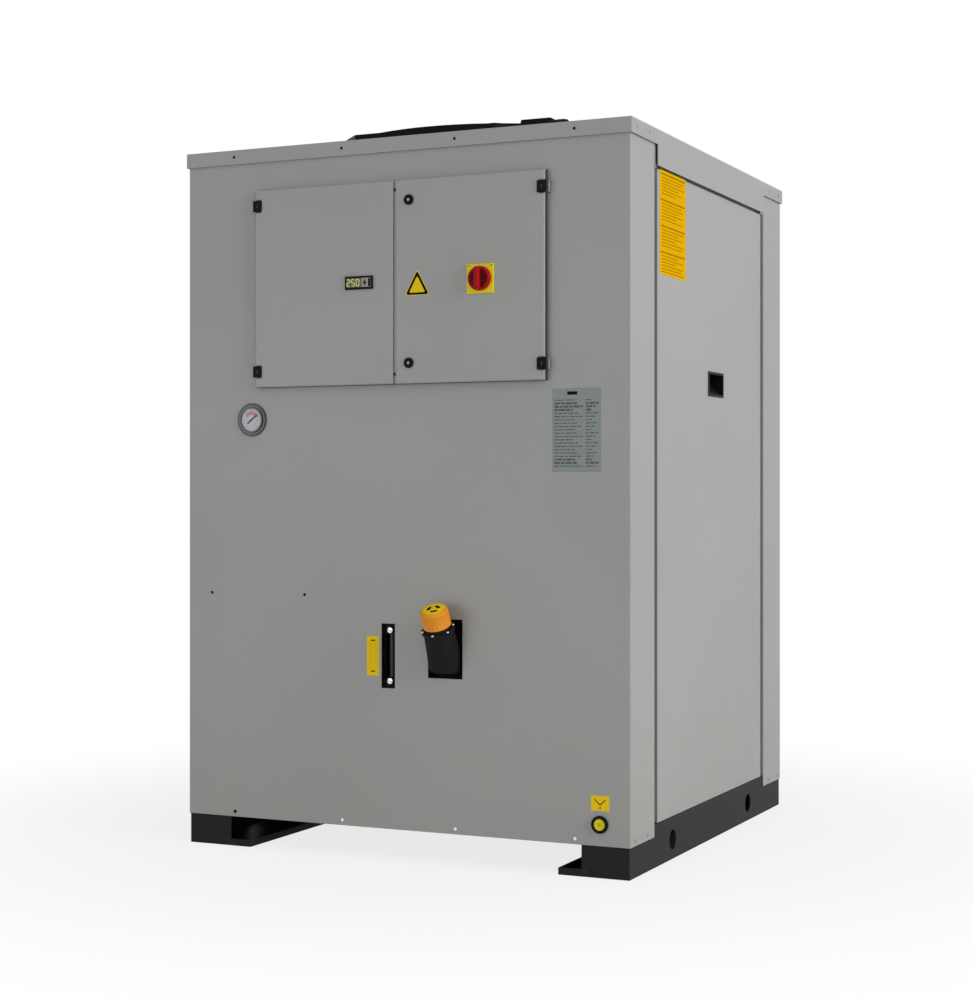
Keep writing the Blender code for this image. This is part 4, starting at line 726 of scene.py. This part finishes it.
# painted shade: a dark red disc where the knob's sunk face lies in shade
shade_disc = turned([(0.0235, -0.0008), (0.0235, 0.0005), (0.0228, 0.0009)], 48, at=at)
piece("switch_painted_shade_disc", shade_disc, red_painted_shade, "main_switch")
print("knob face:", round(knob_face, 4))

# %% [markdown]
# ## The controller's face
# A dark pane fills the bezel's recess. At its left three seven-segment digits glow, and at its right lies a
# pale key field with a black cross and a black bar. A digit is seven bars in fixed places, so it is written
# as a list of the bars that are lit.

# %% Screen, digits and keys
control_low, control_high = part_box("controller")
control = middle("controller")
control_at = stand((control.x, control_low.y, control.z), "front")
width = control_high.x - control_low.x
height = control_high.z - control_low.z
screen = plate(rounded(width - 0.0102, height - 0.0102, 0.001), 0.0004, low=-0.0010)
piece("controller_screen", screen, screen_dark, "left_door_body", control_at)
SEGMENTS = {"top": ((-1, 2), (1, 2)), "mid": ((-1, 0), (1, 0)), "low": ((-1, -2), (1, -2)),
            "ul": ((-1, 0), (-1, 2)), "ur": ((1, 0), (1, 2)),
            "ll": ((-1, -2), (-1, 0)), "lr": ((1, -2), (1, 0))}
LIT = {"2": "top mid low ur ll", "5": "top mid low ul lr", "0": "top low ul ur ll lr"}
digits = bmesh.new()
for place, digit in enumerate("250"):
    for name in LIT[digit].split():
        (ax, ay), (bx, by) = SEGMENTS[name]
        shift = -0.0282 + place * 0.0132
        a = Vector((shift + ax * 0.0040, ay * 0.0040))
        b = Vector((shift + bx * 0.0040, by * 0.0040))
        gap = (b - a).normalized() * 0.0006
        bar(tuple(a + gap), tuple(b - gap), 0.0024, -0.0006, -0.0004, digits, control_at)
piece("controller_digits", digits, glow, "left_door_body")
keys = plate(rounded(0.0245, 0.0225, 0.0012, centre=(0.0225, 0.0)), 0.0004, low=-0.0006, at=control_at)
piece("controller_keys", keys, white_key, "left_door_body")
legends = bar((0.0135, 0.0), (0.0235, 0.0), 0.0034, -0.0002, -0.0001, at=control_at)
bar((0.0185, -0.0075), (0.0185, 0.0075), 0.0034, -0.0002, -0.0001, legends, control_at)
bar((0.0310, -0.0100), (0.0310, 0.0100), 0.0060, -0.0002, -0.0001, legends, control_at)
piece("controller_legends", legends, black_ink, "left_door_body")
print("digits: 3, key fields: 1")

# %% [markdown]
# ## The level window
# A sight tube stands behind a cut-out in a black block with thin side walls, between two ends that carry the
# bright slotted screws. Water stands in it to about two thirds, with a small float on top. The solids have a
# block that lies deeper, so this one stands in for it: five small plates, each one a closed body.

# %% Block, tube, water and screws
level = middle("level_indicator")
level_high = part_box("level_indicator")[1]
tube_low, tube_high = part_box("level_tube")
LEVEL_FACE = LID_FRONT + 0.0160
LEVEL_DEPTH = 0.026
level_at = stand((level.x, LEVEL_FACE, level.z), "front")
sight = tube_high.z - tube_low.z
body = bmesh.new()
for side in (-1, 1):
    end = side * (level_high.z - level.z + tube_high.z - level.z) / 2
    head_outline = rounded(0.030, level_high.z - tube_high.z, 0.002, centre=(0.0, end))
    plate(head_outline, LEVEL_DEPTH, low=-LEVEL_DEPTH, edge=0.0006, bm=body, at=level_at)
    wall_outline = rounded(0.0014, sight, 0.0002, centre=(side * 0.0143, 0.0))
    plate(wall_outline, LEVEL_DEPTH, low=-LEVEL_DEPTH, bm=body, at=level_at)
plate(rounded(0.0272, sight, 0.001), 0.004, low=-LEVEL_DEPTH, bm=body, at=level_at)
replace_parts(piece("level_block", body, black_plastic), "level_indicator")
tube_at = Matrix.Translation((level.x, LEVEL_FACE + 0.0125, 0.0))
glass = turned([(0.0066, tube_low.z), (0.0066, tube_high.z)], 24, at=tube_at)
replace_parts(piece("level_glass", glass, smoked), "level_tube")
surface = tube_low.z + sight * 0.66
piece("sight_water", turned([(0.0050, tube_low.z + 0.001), (0.0050, surface)], 16), water, at=tube_at)
FLOAT = ((0.0044, 0.0), (0.0048, 0.0015), (0.0048, 0.0055), (0.0036, 0.0070))
bulb = turned([(radius, surface + height) for radius, height in FLOAT], 16)
piece("sight_float", bulb, grey_ink, at=tube_at)
SCREW_PITCH = 0.127
bolts, bolt_slot_shade = (bmesh.new() for _ in range(2))
for side in (-1, 1):
    at = level_at @ Matrix.Translation((0.0010, side * SCREW_PITCH / 2, 0.0))
    turned([(0.0080, 0.0), (0.0080, 0.0020), (0.0070, 0.0034), (0.0045, 0.0040)], 32, bolts, at=at)
    # painted shade: a flat black bar on each head stands for the shade inside the screw's slot
    bar((-0.0058, 0.0018), (0.0058, -0.0018), 0.0018, 0.0036, 0.00405, bolt_slot_shade, at)
piece("level_bolts", bolts, steel_screw)
piece("level_bolt_slot_shade", bolt_slot_shade, black_ink)
print("level window dressed")

# %% [markdown]
# ## The filler
# A black dish lies behind the panel's window, and a chute leans out of it by 26 degrees. It starts as a
# rounded rectangle in the dish and ends as a circle under a screwed flange. That is a loft: one ring
# function draws every section between a rectangle and a circle, and the rings are skinned in order. On the
# stem above the flange sits an orange cap with grip ribs and a yellow disc.

# %% The chute in its dish
joint = next(j for j in frame["joints"] if j["name"] == "filler_cap_turn")
lean = Vector(joint["axis"]).normalized()
right = Vector((1.0, 0.0, 0.0))
across = lean.cross(right)
seat = Matrix.Translation(Vector(joint["pos_m"])) @ Matrix((right, across, lean)).transposed().to_4x4()
WINDOW = ((0.083, 0.457), (0.177, 0.603))
DISH_FLOOR = LID_FRONT + 0.034
filler = Vector(joint["pos_m"])


def section(centre, half_width, half_depth, direction, power, steps=32):
    ring = []
    for i in range(steps):
        a, b = math.cos(2 * math.pi * i / steps), math.sin(2 * math.pi * i / steps)
        u = math.copysign(abs(a) ** power, a) * half_width
        v = math.copysign(abs(b) ** power, b) * half_depth
        ring.append(centre + right * u + direction * v)
    return ring


(x0, z0), (x1, z1) = WINDOW
root = Vector((filler.x, DISH_FLOOR, 0.4960))
knee = Vector((filler.x, DISH_FLOOR - 0.030, 0.5040))
under = filler - lean * 0.0153
chute = skin([section(root, 0.0375, 0.0345, Vector((0.0, 0.0, 1.0)), 0.45),
              section(knee, 0.0375, 0.0385, Vector((0.0, 0.6, 0.8)), 0.45),
              section(under - lean * 0.010, 0.0365, 0.0365, across, 0.9),
              section(under, 0.0365, 0.0365, across, 1.0)])
FLANGE = ((0.0400, 0.0), (0.0415, 0.0010), (0.0415, 0.0060), (0.0405, 0.0065), (0.0330, 0.0065),
          (0.0330, 0.0158))
skin([section(under + lean * height, radius, radius, across, 1.0) for radius, height in FLANGE], chute)
dish_front = PANEL_FACE + 0.0018
dish_rings = []
for lap, y in ((0.008, DISH_FLOOR + 0.003), (0.008, dish_front), (0.001, dish_front), (0.001, DISH_FLOOR)):
    dish_rings.append([(x0 - lap, y, z0 - lap), (x1 + lap, y, z0 - lap), (x1 + lap, y, z1 + lap),
                       (x0 - lap, y, z1 + lap)])
dish = skin(dish_rings)
piece("filler_dish", dish, black_plastic)
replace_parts(piece("filler_chute", chute, chute_plastic), "filler_neck")
print("chute leans by", round(math.degrees(math.acos(lean.z)), 1), "degrees")

# %% Screws on the flange
flange = bmesh.new()
BOLT_CIRCLE = 0.0380
for index in range(6):
    turn = math.radians(34 + index * 60)
    spot = Matrix.Translation((BOLT_CIRCLE * math.cos(turn), BOLT_CIRCLE * math.sin(turn), -0.0092))
    turned([(0.0036, 0.0), (0.0036, 0.0012), (0.0028, 0.0024)], 12, flange, at=seat @ spot)
piece("flange_screws", flange, steel_screw)
print("flange screws: 6")

# %% The ribbed cap and its disc
CAP_RADIUS = 0.0350
RIB_DEPTH = 0.0019
RIBS = 24
CAP_PROFILE = ((0.0, 0.0007, 0), (0.0, 0.0040, 0), (0.0, 0.0052, 1), (0.0, 0.0345, 1), (0.0, 0.0365, 0),
               (0.0002, 0.0395, 0), (0.0013, 0.0425, 0), (0.0034, 0.0446, 0), (0.0062, 0.0455, 0),
               (0.0068, 0.0450, 0))
rings = []
for inset, height, ribbed in CAP_PROFILE:
    ring = []
    for i in range(RIBS * 4):
        turn = 2 * math.pi * i / (RIBS * 4)
        radius = CAP_RADIUS - inset - RIB_DEPTH * ribbed * (0.5 - 0.5 * math.cos(turn * RIBS))
        ring.append((radius * math.cos(turn), radius * math.sin(turn), height))
    rings.append(ring)
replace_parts(piece("ribbed_cap", skin(rings), orange_plastic, "filler_cap_body", seat), "filler_cap")
top = Matrix.Translation((0.0, 0.0, 0.0451))
disc = turned([(0.0278, -0.0006), (0.0278, 0.0004), (0.0268, 0.0008)], 48, at=seat @ top)
piece("cap_disc", disc, yellow_foil, "filler_cap_body")
marks = bmesh.new()
for turn in (20, 140, 260):
    arc(0.0085, 0.0170, turn, 74, 8, 0.0008, marks, seat @ top)
piece("cap_turn_marks", marks, black_ink, "filler_cap_body")
print("cap ribs:", RIBS)

# %% [markdown]
# ## Fins in the coil
# A condenser coil is hundreds of thin aluminium plates pressed on copper tubes. From outside only the
# plates' edges show, so a plain block never looks right. Here each plate is a thin solid at a true 3 mm
# pitch, and the tubes cross them behind, inside the space that the coil's solid holds.

# %% Fin plates, tubes and end sheets
coil_low, coil_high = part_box("condenser_coil")
FIN_PITCH = 0.003
FIN_SHEET = 0.0004
TUBE_PITCH = 0.025
END_SHEET = 0.0015
fins = bmesh.new()
count = int((coil_high.y - coil_low.y - 0.012) / FIN_PITCH)
for index in range(count):
    y = coil_low.y + 0.006 + index * FIN_PITCH
    block((coil_low.x, y, coil_low.z + 0.002), (coil_high.x, y + FIN_SHEET, coil_high.z - 0.002), fins)
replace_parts(piece("coil_fins", fins, fin_stock), "condenser_coil")
tubes = bmesh.new()
for row in range(62):
    for column in range(2):
        z = coil_low.z + 0.020 + (row + column / 2) * TUBE_PITCH
        if z < coil_high.z - 0.01:
            at = Matrix.Translation((coil_low.x + 0.020 + column * 0.028, coil_low.y + 0.003, z))
            turn = Matrix.Rotation(-math.pi / 2, 4, "X")
            turned([(0.0048, 0.0), (0.0048, coil_high.y - coil_low.y - 0.006)], 8, tubes, at=at @ turn)
piece("coil_tubes", tubes, copper)
ends = bmesh.new()
for y in (coil_low.y, coil_high.y - END_SHEET):
    block((coil_low.x, y, coil_low.z), (coil_high.x, y + END_SHEET, coil_high.z), ends)
for z in (coil_low.z, coil_high.z - END_SHEET):
    block((coil_low.x, coil_low.y, z), (coil_high.x, coil_high.y, z + END_SHEET), ends)
piece("coil_end_sheets", ends, zinc)
print("fins:", count)

# %% [markdown]
# ## Fine wires
# The coil's guard has a welded mesh behind its bars, and the fan's basket has many thin rings between the
# flat ones. Both are round wire. A wire is a small ring of points carried along a straight line or a circle.


# %% Mesh behind the coil guard's bars
def wire(bm, a, b, radius, sides=6):
    a, b = Vector(a), Vector(b)
    along = (b - a).normalized()
    u = along.orthogonal().normalized()
    v = along.cross(u)
    ring = [u * radius * math.cos(2 * math.pi * i / sides) + v * radius * math.sin(2 * math.pi * i / sides)
            for i in range(sides)]
    skin([[a + p for p in ring], [b + p for p in ring]], bm)


guard_low, guard_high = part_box("coil_guard")
MESH_PITCH = 0.025
MESH_WIRE = 0.0010
mesh_x = guard_low.x + 0.0050
mesh = bmesh.new()
lines = int((guard_high.y - guard_low.y - 0.05) / MESH_PITCH)
for index in range(lines):
    y = guard_low.y + 0.030 + index * MESH_PITCH
    wire(mesh, (mesh_x, y, guard_low.z + 0.006), (mesh_x, y, guard_high.z - 0.006), MESH_WIRE)
for index in range(int((guard_high.z - guard_low.z - 0.05) / MESH_PITCH)):
    z = guard_low.z + 0.030 + index * MESH_PITCH
    span = [(mesh_x + MESH_WIRE * 2, y, z) for y in (guard_low.y + 0.006, guard_high.y - 0.006)]
    wire(mesh, *span, MESH_WIRE)
piece("coil_guard_mesh", mesh, coat)
print("mesh wires across:", lines)


# %% Rings in the fan's basket
def wire_ring(bm, radius, z, thickness, steps=72, sides=6):
    rows = []
    for i in range(steps):
        turn = 2 * math.pi * i / steps
        out = Vector((math.cos(turn), math.sin(turn), 0.0))
        row = []
        for k in range(sides):
            spin = 2 * math.pi * k / sides
            row.append(bm.verts.new(out * (radius + thickness * math.cos(spin))
                                    + Vector((0.0, MIDDLE_Y, z + thickness * math.sin(spin)))))
        rows.append(row)
    for i in range(steps):
        a, b = rows[i], rows[(i + 1) % steps]
        for k in range(sides):
            bm.faces.new((a[k], a[(k + 1) % sides], b[(k + 1) % sides], b[k]))


basket_low, basket_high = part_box("fan_guard")
rings = bmesh.new()
for index in range(19):
    wire_ring(rings, 0.115 + index * 0.0175, basket_high.z - 0.0025, 0.0014)
BASKET_RISE = 0.0416
BASKET_DRAW = 0.0258
foot_radius = (basket_high.x - basket_low.x) / 2
for share in (0.52, 0.64, 0.76, 0.88, 0.97):
    wire_ring(rings, foot_radius - BASKET_DRAW * share, basket_low.z + BASKET_RISE * share, 0.0016)
piece("basket_rings", rings, black_paint)
print("basket rings: 24")

# %% [markdown]
# ## The fan plate's wall and the terminal box
# An eight-sided wall of sheet stands on the square fan plate round the guard, and it is what shows over the
# lid from the front. The motor's terminal box sits in the corner outside it, with a lid and a cable gland.

# %% Eight-sided wall
WALL_HALF = 0.4815
WALL_TOP = 1.8430
plate_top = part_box("fan_plate")[1].z


def octagon(half, z):
    reach = half / math.cos(math.pi / 8)
    turns = [math.pi * (2 * i + 1) / 8 for i in range(8)]
    return [(reach * math.cos(turn), MIDDLE_Y + reach * math.sin(turn), z) for turn in turns]


inner_half = WALL_HALF - 0.0015
wall = skin([octagon(WALL_HALF, plate_top), octagon(WALL_HALF, WALL_TOP), octagon(inner_half, WALL_TOP),
             octagon(inner_half, plate_top), octagon(WALL_HALF, plate_top)], capped=False)
bmesh.ops.remove_doubles(wall, verts=wall.verts, dist=0.00001)
piece("fan_plate_wall", wall, black_paint)
print("wall top:", WALL_TOP)

# %% Terminal box with its lid and gland
box_low, box_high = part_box("fan_terminal_box")
BOX_WIDTH = 0.085
box_depth = box_high.y - box_low.y
box_at = Matrix.Translation((box_low.x + BOX_WIDTH / 2, (box_low.y + box_high.y) / 2, box_low.z))
terminal = plate(rounded(BOX_WIDTH, box_depth, 0.006), 0.0265, edge=0.0004, at=box_at)
lid_outline = rounded(BOX_WIDTH - 0.002, box_depth - 0.002, 0.006)
plate(lid_outline, 0.0058, low=0.0270, edge=0.0012, bm=terminal, at=box_at)
gland_at = box_at @ Matrix.Translation((BOX_WIDTH / 2, 0.0, 0.0190)) @ Matrix.Rotation(math.pi / 2, 4, "Y")
GLAND = [(0.0100, -0.002), (0.0100, 0.0040), (0.0135, 0.0042), (0.0135, 0.0200), (0.0120, 0.0300),
         (0.0100, 0.0335)]
turned(GLAND, 12, terminal, at=gland_at)
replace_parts(piece("terminal_box", terminal, black_plastic), "fan_terminal_box")
print("terminal box dressed")

# %% [markdown]
# ## Small things inside the electrical box
# They only show with the doors open: the toggles and gaps of the breakers, the coil caps of the contactors
# and a slotted wiring duct between the rows.

# %% Breakers, contactors, duct
low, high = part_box("breaker_row")
toggles, gaps = (bmesh.new() for _ in range(2))
for index in range(16):
    x = low.x + 0.018 * (index + 0.5) + 0.006
    at = stand((x, low.y, (low.z + high.z) / 2), "front")
    plate(rounded(0.0070, 0.0160, 0.0015, centre=(0.0, 0.003)), 0.0060, edge=0.001, bm=toggles, at=at)
    bar((0.009, -0.018), (0.009, 0.018), 0.0007, 0.0, 0.0003, gaps, at)
piece("breaker_toggles", toggles, black_plastic)
piece("breaker_gaps", gaps, black_ink)
low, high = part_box("contactor_row")
caps = bmesh.new()
for index in range(6):
    at = stand((low.x + 0.025 + index * 0.050, low.y, (low.z + high.z) / 2), "front")
    plate(rounded(0.040, 0.030, 0.003), 0.0040, edge=0.001, bm=caps, at=at)
piece("contactor_caps", caps, grey_plastic)
DUCT_Z = 1.455
DUCT_HEIGHT = 0.040
box_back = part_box("electrical_box")[1].y
box_x = middle("electrical_box").x
duct_at = stand((box_x, box_back - 0.003, DUCT_Z), "front")
piece("wiring_duct", plate(rounded(0.720, DUCT_HEIGHT, 0.001), 0.060, at=duct_at), grey_plastic)
# painted shade: thin black sheets mark the duct's slots and stand for the shade inside them
shade_and_highlight_strips = bmesh.new()
for index in range(44):
    for side in (-1, 1):
        spot = (box_x - 0.344 + index * 0.016, box_back - 0.030, DUCT_Z + side * DUCT_HEIGHT / 2)
        block((-0.003, -0.02, -0.0002), (0.003, 0.02, 0.0002), shade_and_highlight_strips, Matrix.Translation(spot))
piece("duct_slot_shade", shade_and_highlight_strips, black_ink)
print("devices dressed")

# %% [markdown]
# ## The doors' sheets
# Each door is a folded tray: a sheet with soft folds all round, notched at its outer edge where the hinges
# sit. The solids have plainer doors with a wider seam, so these sheets stand in for them. One outline goes
# round the door and its notches, and smaller or deeper copies of it are skinned one after another.

# %% Folded door sheets
DOOR_BACK = left_door_high.y
DOOR_SIDE = 0.4035
SEAM = (-0.0062, 0.0014)
NOTCH = 0.0150
FOLD = 0.0022
SHEET = 0.0015
zones = []
for where in ("lower", "upper"):
    zone_low, zone_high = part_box(f"left_{where}_hinge_bracket")
    zones.append((zone_low.z - 0.0006, zone_high.z + 0.0006))


def door_outline(outer, inner, inset, y):
    side = 1 if outer > inner else -1
    edge, seam = outer - side * inset, inner + side * inset
    deep = edge - side * NOTCH
    low, high = left_door_low.z + inset, left_door_high.z - inset
    points = [(seam, low), (seam, high), (edge, high)]
    for zone_low, zone_high in reversed(zones):
        notch_top, notch_foot = zone_high + inset, zone_low - inset
        points += [(edge, notch_top), (deep, notch_top), (deep, notch_foot), (edge, notch_foot)]
    points.append((edge, low))
    return [(x, y, z) for x, z in points]


DOORS = (("left_door", -DOOR_SIDE, SEAM[0]), ("right_door", DOOR_SIDE, SEAM[1]))
COPIES = ((FOLD, DOOR_FACE), (0.0, DOOR_FACE + FOLD), (0.0, DOOR_BACK), (SHEET, DOOR_BACK),
          (SHEET, DOOR_FACE + SHEET))
for name, outer, inner in DOORS:
    tray = skin([door_outline(outer, inner, inset, y) for inset, y in COPIES])
    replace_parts(piece(f"{name}_sheet", tray, coat, f"{name}_body"), name)
print("door sheets:", len(DOORS), "notches:", len(DOORS) * len(zones))

# %% [markdown]
# ## Hinges, seam, rubber and painted shadow
# A black cover closes each notch and laps over the sheet and the pin, and behind it a grey knuckle turns on
# the bracket's pin. A paler strip down each cover is a painted highlight of the hinge's barrel. A grey strip
# behind the seam belongs to the left door. A dark rubber profile is pushed over the folds at the doors'
# outer sides, and its darkness also stands for the shade beside them. The dark strip under the doors' lower
# edges is a painted shadow, and so is a thin dark strip on the panel over their upper edge. Inside, a rubber
# seal goes round each door.

# %% Hinge covers and knuckles
KNUCKLE_RADIUS = 0.0020
PIN_RADIUS = 0.0016
for name, edge, side in (("left", -DOOR_SIDE, -1), ("right", DOOR_SIDE, 1)):
    covers, shade_and_highlight_strips, knuckles, brackets = (bmesh.new() for _ in range(4))
    pivot = Vector(next(j for j in frame["joints"] if j["name"] == f"{name}_door_swing")["pos_m"])
    for zone_low, zone_high in zones:
        middle_z = (zone_low + zone_high) / 2
        at = stand((edge - side * 0.0110, DOOR_FACE, middle_z), "front")
        front = rounded(0.0252, 0.0290, 0.0015, centre=(side * 0.0038, 0.0))
        plate(front, 0.0020, low=0.0008, edge=0.0005, bm=covers, at=at)
        root_outline = rounded(0.0105, 0.0285, 0.0010, centre=(-side * 0.0012, 0.0))
        plate(root_outline, 0.0150, low=-0.0142, bm=covers, at=at)
        # painted highlight: a flat strip, paler than the black cover, stands for the light on the hinge's
        # barrel
        bar((side * 0.0040, -0.0045), (side * 0.0040, 0.0045), 0.0030, 0.0028, 0.00285, shade_and_highlight_strips, at)
        flat = Matrix.Translation((pivot.x, pivot.y, middle_z))
        turned([(KNUCKLE_RADIUS, -0.0090), (KNUCKLE_RADIUS, 0.0090)], 20, knuckles, at=flat)
        block((-0.0050, 0.0082, -0.0145), (0.0050, 0.0091, 0.0145), brackets, flat)
        ear = [(-0.0024, -0.0020), (0.0024, -0.0020), (0.0026, 0.0085), (-0.0026, 0.0085)]
        for low in (-0.0136, 0.0122):
            plate(ear, 0.0014, low=low, bm=brackets, at=flat)
        turned([(PIN_RADIUS, -0.0140), (PIN_RADIUS, 0.0140)], 12, brackets, at=flat)
    replaced = piece(f"{name}_hinge_covers", covers, black_plastic, f"{name}_door_body")
    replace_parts(replaced, f"{name}_upper_hinge_block", f"{name}_lower_hinge_block")
    mounts = piece(f"{name}_hinge_brackets", brackets, coat)
    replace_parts(mounts, f"{name}_upper_hinge_bracket", f"{name}_lower_hinge_bracket")
    piece(f"{name}_hinge_painted_highlights", shade_and_highlight_strips, inner_paint, f"{name}_door_body")
    piece(f"{name}_hinge_knuckles", knuckles, coat, f"{name}_door_body")
print("hinge covers: 4")

# %% Strip behind the seam, rubber and painted shadow on the folds
strip = bmesh.new()
door_foot, door_top = left_door_low.z, left_door_high.z
for low, high in ((door_foot + 0.002, 1.2050), (1.2120, 1.6620), (1.6700, door_top - 0.002)):
    block((SEAM[0] - 0.004, DOOR_FACE + 0.0060, low), (SEAM[1] - 0.0004, DOOR_FACE + 0.0075, high), strip)
piece("seam_strip", strip, coat, "left_door_body")
# The dark band on each outer fold is rubber, darkened also for the shade beside it; the strip under each
# lower edge is a painted shadow.
RUBBER_AND_SHADOW = 0.0006
RUBBER_AND_SHADOW_FRONT = DOOR_FACE + 0.0028
for name, edge, seam in DOORS:
    band = bmesh.new()
    outside = edge + math.copysign(RUBBER_AND_SHADOW, edge)
    for z0, z1 in ((door_foot, zones[0][0]), (zones[0][1], zones[1][0]), (zones[1][1], door_top - 0.001)):
        block((edge, RUBBER_AND_SHADOW_FRONT, z0), (outside, DOOR_BACK, z1), band)
    block((edge, RUBBER_AND_SHADOW_FRONT, door_foot - RUBBER_AND_SHADOW), (seam, DOOR_BACK, door_foot), band)
    piece(f"{name}_rubber_and_painted_shadow", band, inner_paint, f"{name}_body")
# painted shadow: a thin dark strip on the panel along the doors' upper edge, where the gap's shade falls
shadow_line_low = (-DOOR_SIDE, PANEL_FACE - 0.0020, door_top + 0.0004)
shadow_line_high = (DOOR_SIDE, PANEL_FACE, door_top + 0.0020)
piece("door_top_painted_shadow", block(shadow_line_low, shadow_line_high), inner_paint)
print("rubber_and_painted_shadow profiles: 3")

# %% [markdown]
# ## Sheets behind the lid's side gaps
# The lid hangs down further over the side panels than over the corner posts, and a gap of a few millimetres
# stays round that apron. Behind it runs the hooked flange that the panel hangs on, so the gap reads as grey
# and not as a black hole.

# %% Flanges behind the gaps
FLANGE_SHEET = 0.0015
FLANGE_LAP = 0.012
APRON = (LID_FRONT + 0.185, lid_high.y - 0.185)
backing = bmesh.new()
for side in (-1, 1):
    hooks = [(SIDE_FACE - 0.012, APRON[0] - 0.030, APRON[1] + 0.030, side_high.z - FLANGE_LAP,
              lid_low.z + FLANGE_LAP)]
    for edge, outwards in ((APRON[0], -1), (APRON[1], 1)):
        ends = sorted((edge + outwards * 0.025, edge - outwards * 0.012))
        hooks.append((POST_FACE - 0.0025, ends[0], ends[1], lid_low.z - 0.004, lid_high.z - 0.030))
    for depth, y0, y1, z0, z1 in hooks:
        block((side * depth, y0, z0), (side * (depth - FLANGE_SHEET), y1, z1), backing)
piece("lid_side_flanges", backing, coat)
print("apron gap, mm:", round((lid_low.z - side_high.z) * 1000, 1))

# %% Seals inside the doors
for name, _, _ in DOORS:
    low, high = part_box(name)
    seal = bmesh.new()
    at = stand(((low.x + high.x) / 2, low.y + 0.0075, (low.z + high.z) / 2), "rear")
    wide = (high.x - low.x) / 2 - 0.010
    tall = (high.z - low.z) / 2 - 0.010
    corners = [(-wide, -tall), (wide, -tall), (wide, tall), (-wide, tall)]
    for a, b in zip(corners, corners[1:] + corners[:1]):
        bar(a, b, 0.006, 0.0, 0.006, seal, at)
    piece(f"{name}_seal", seal, black_plastic, f"{name}_body")
print("seals:", len(DOORS))

# %% [markdown]
# ## Light, floor and camera
# The object stands on a plain white floor that runs on as the backdrop. The camera stands where the
# photographer stood: level, 0.91 m high, 25 degrees to the right. The light is a white room with a large
# soft lamp on the right, which makes the side paler than the front, and a weak low one in front. The world
# and the floor show pure white to the camera and in reflections, and light the object less than that.

# %% White room
def background_rays(finish):
    rays = [finish.node("ShaderNodeLightPath", {}, {}, f"Is {kind} Ray")
            for kind in ("Camera", "Glossy", "Transmission")]
    settings = {"operation": "ADD", "use_clamp": True}
    return finish.node("ShaderNodeMath", settings, {0: rays[0] + rays[1], 1: rays[2]})


class Room(Finish):
    def __init__(self, name):
        self.world = bpy.data.worlds.new(name)
        self.world.use_nodes = True
        self.tree = self.world.node_tree


room = Room("white_room")
bpy.context.scene.world = room.world
lit = room.tree.nodes["Background"]
lit.inputs["Color"].default_value = (1.0, 1.0, 1.0, 1.0)
ROOM_LIGHT = 0.37
room.fill(lit.inputs["Strength"], ROOM_LIGHT + background_rays(room) * (1.0 - ROOM_LIGHT))
print("world:", room.world.name)

# %% Floor
ground = block((-30.0, -30.0, -0.050), (30.0, 30.0, -0.0004))
bmesh.ops.recalc_face_normals(ground, faces=ground.faces)
floor_mesh = bpy.data.meshes.new("studio_floor")
ground.to_mesh(floor_mesh)
ground.free()
floor = bpy.data.objects.new("studio_floor", floor_mesh)
bpy.context.scene.collection.objects.link(floor)
floor_look = Finish("studio_white", (0.90, 0.90, 0.90), 0.9, specular_ior_level=0.0)
floor_look.paint(floor_look.mix(floor_look.noise(3.0), (0.89, 0.89, 0.89), (0.91, 0.91, 0.91)))
across_floor, along_floor = floor_look.axes()[:2]
distance = (across_floor * across_floor + along_floor * along_floor) ** 0.5
fade = floor_look.spread(distance, 0.7, 2.2, 0.80, 1.0) * background_rays(floor_look)
glow_node = floor_look.tree.nodes.new("ShaderNodeEmission")
glow_node.inputs["Strength"].default_value = 1.0
blend = floor_look.tree.nodes.new("ShaderNodeMixShader")
floor_look.fill(blend.inputs[0], fade)
surface_in = floor_look.tree.nodes["Material Output"].inputs["Surface"]
links = ((floor_look.shader, blend.inputs[1]), (glow_node, blend.inputs[2]), (blend, surface_in))
for source, target in links:
    floor_look.tree.links.new(source.outputs[0], target)
floor_mesh.materials.append(floor_look.material)
print("floor ready")


# %% Lamps
def lamp(name, place, target, size, power):
    data = bpy.data.lights.new(name, "AREA")
    data.shape = "DISK"
    data.size = size
    data.energy = power
    made = bpy.data.objects.new(name, data)
    bpy.context.scene.collection.objects.link(made)
    made.location = place
    made.rotation_euler = (Vector(target) - Vector(place)).to_track_quat("-Z", "Y").to_euler()


lamp("side_lamp", (6.0, -1.6, 2.8), (0.4, 0.0, 0.9), 3.5, 176.0)
lamp("front_lamp", (-2.5, -6.0, 0.6), (0.0, 0.0, 0.5), 4.0, 66.0)
print("lamps: 2")

# %% Camera
view = bpy.data.cameras.new("photographer")
view.lens = 69.78
view.sensor_width = 36.0
view.sensor_fit = "AUTO"
view.shift_x = 0.0007
view.shift_y = -0.0064
camera = bpy.data.objects.new("photographer", view)
bpy.context.scene.collection.objects.link(camera)
camera.location = (2.2249, LID_FRONT - 4.2757, 0.9121)
camera.rotation_euler = (math.pi / 2, 0.0, 0.4341)
bpy.context.scene.camera = camera
bpy.context.scene.view_settings.view_transform = "Standard"
print("camera:", tuple(round(value, 3) for value in camera.location))
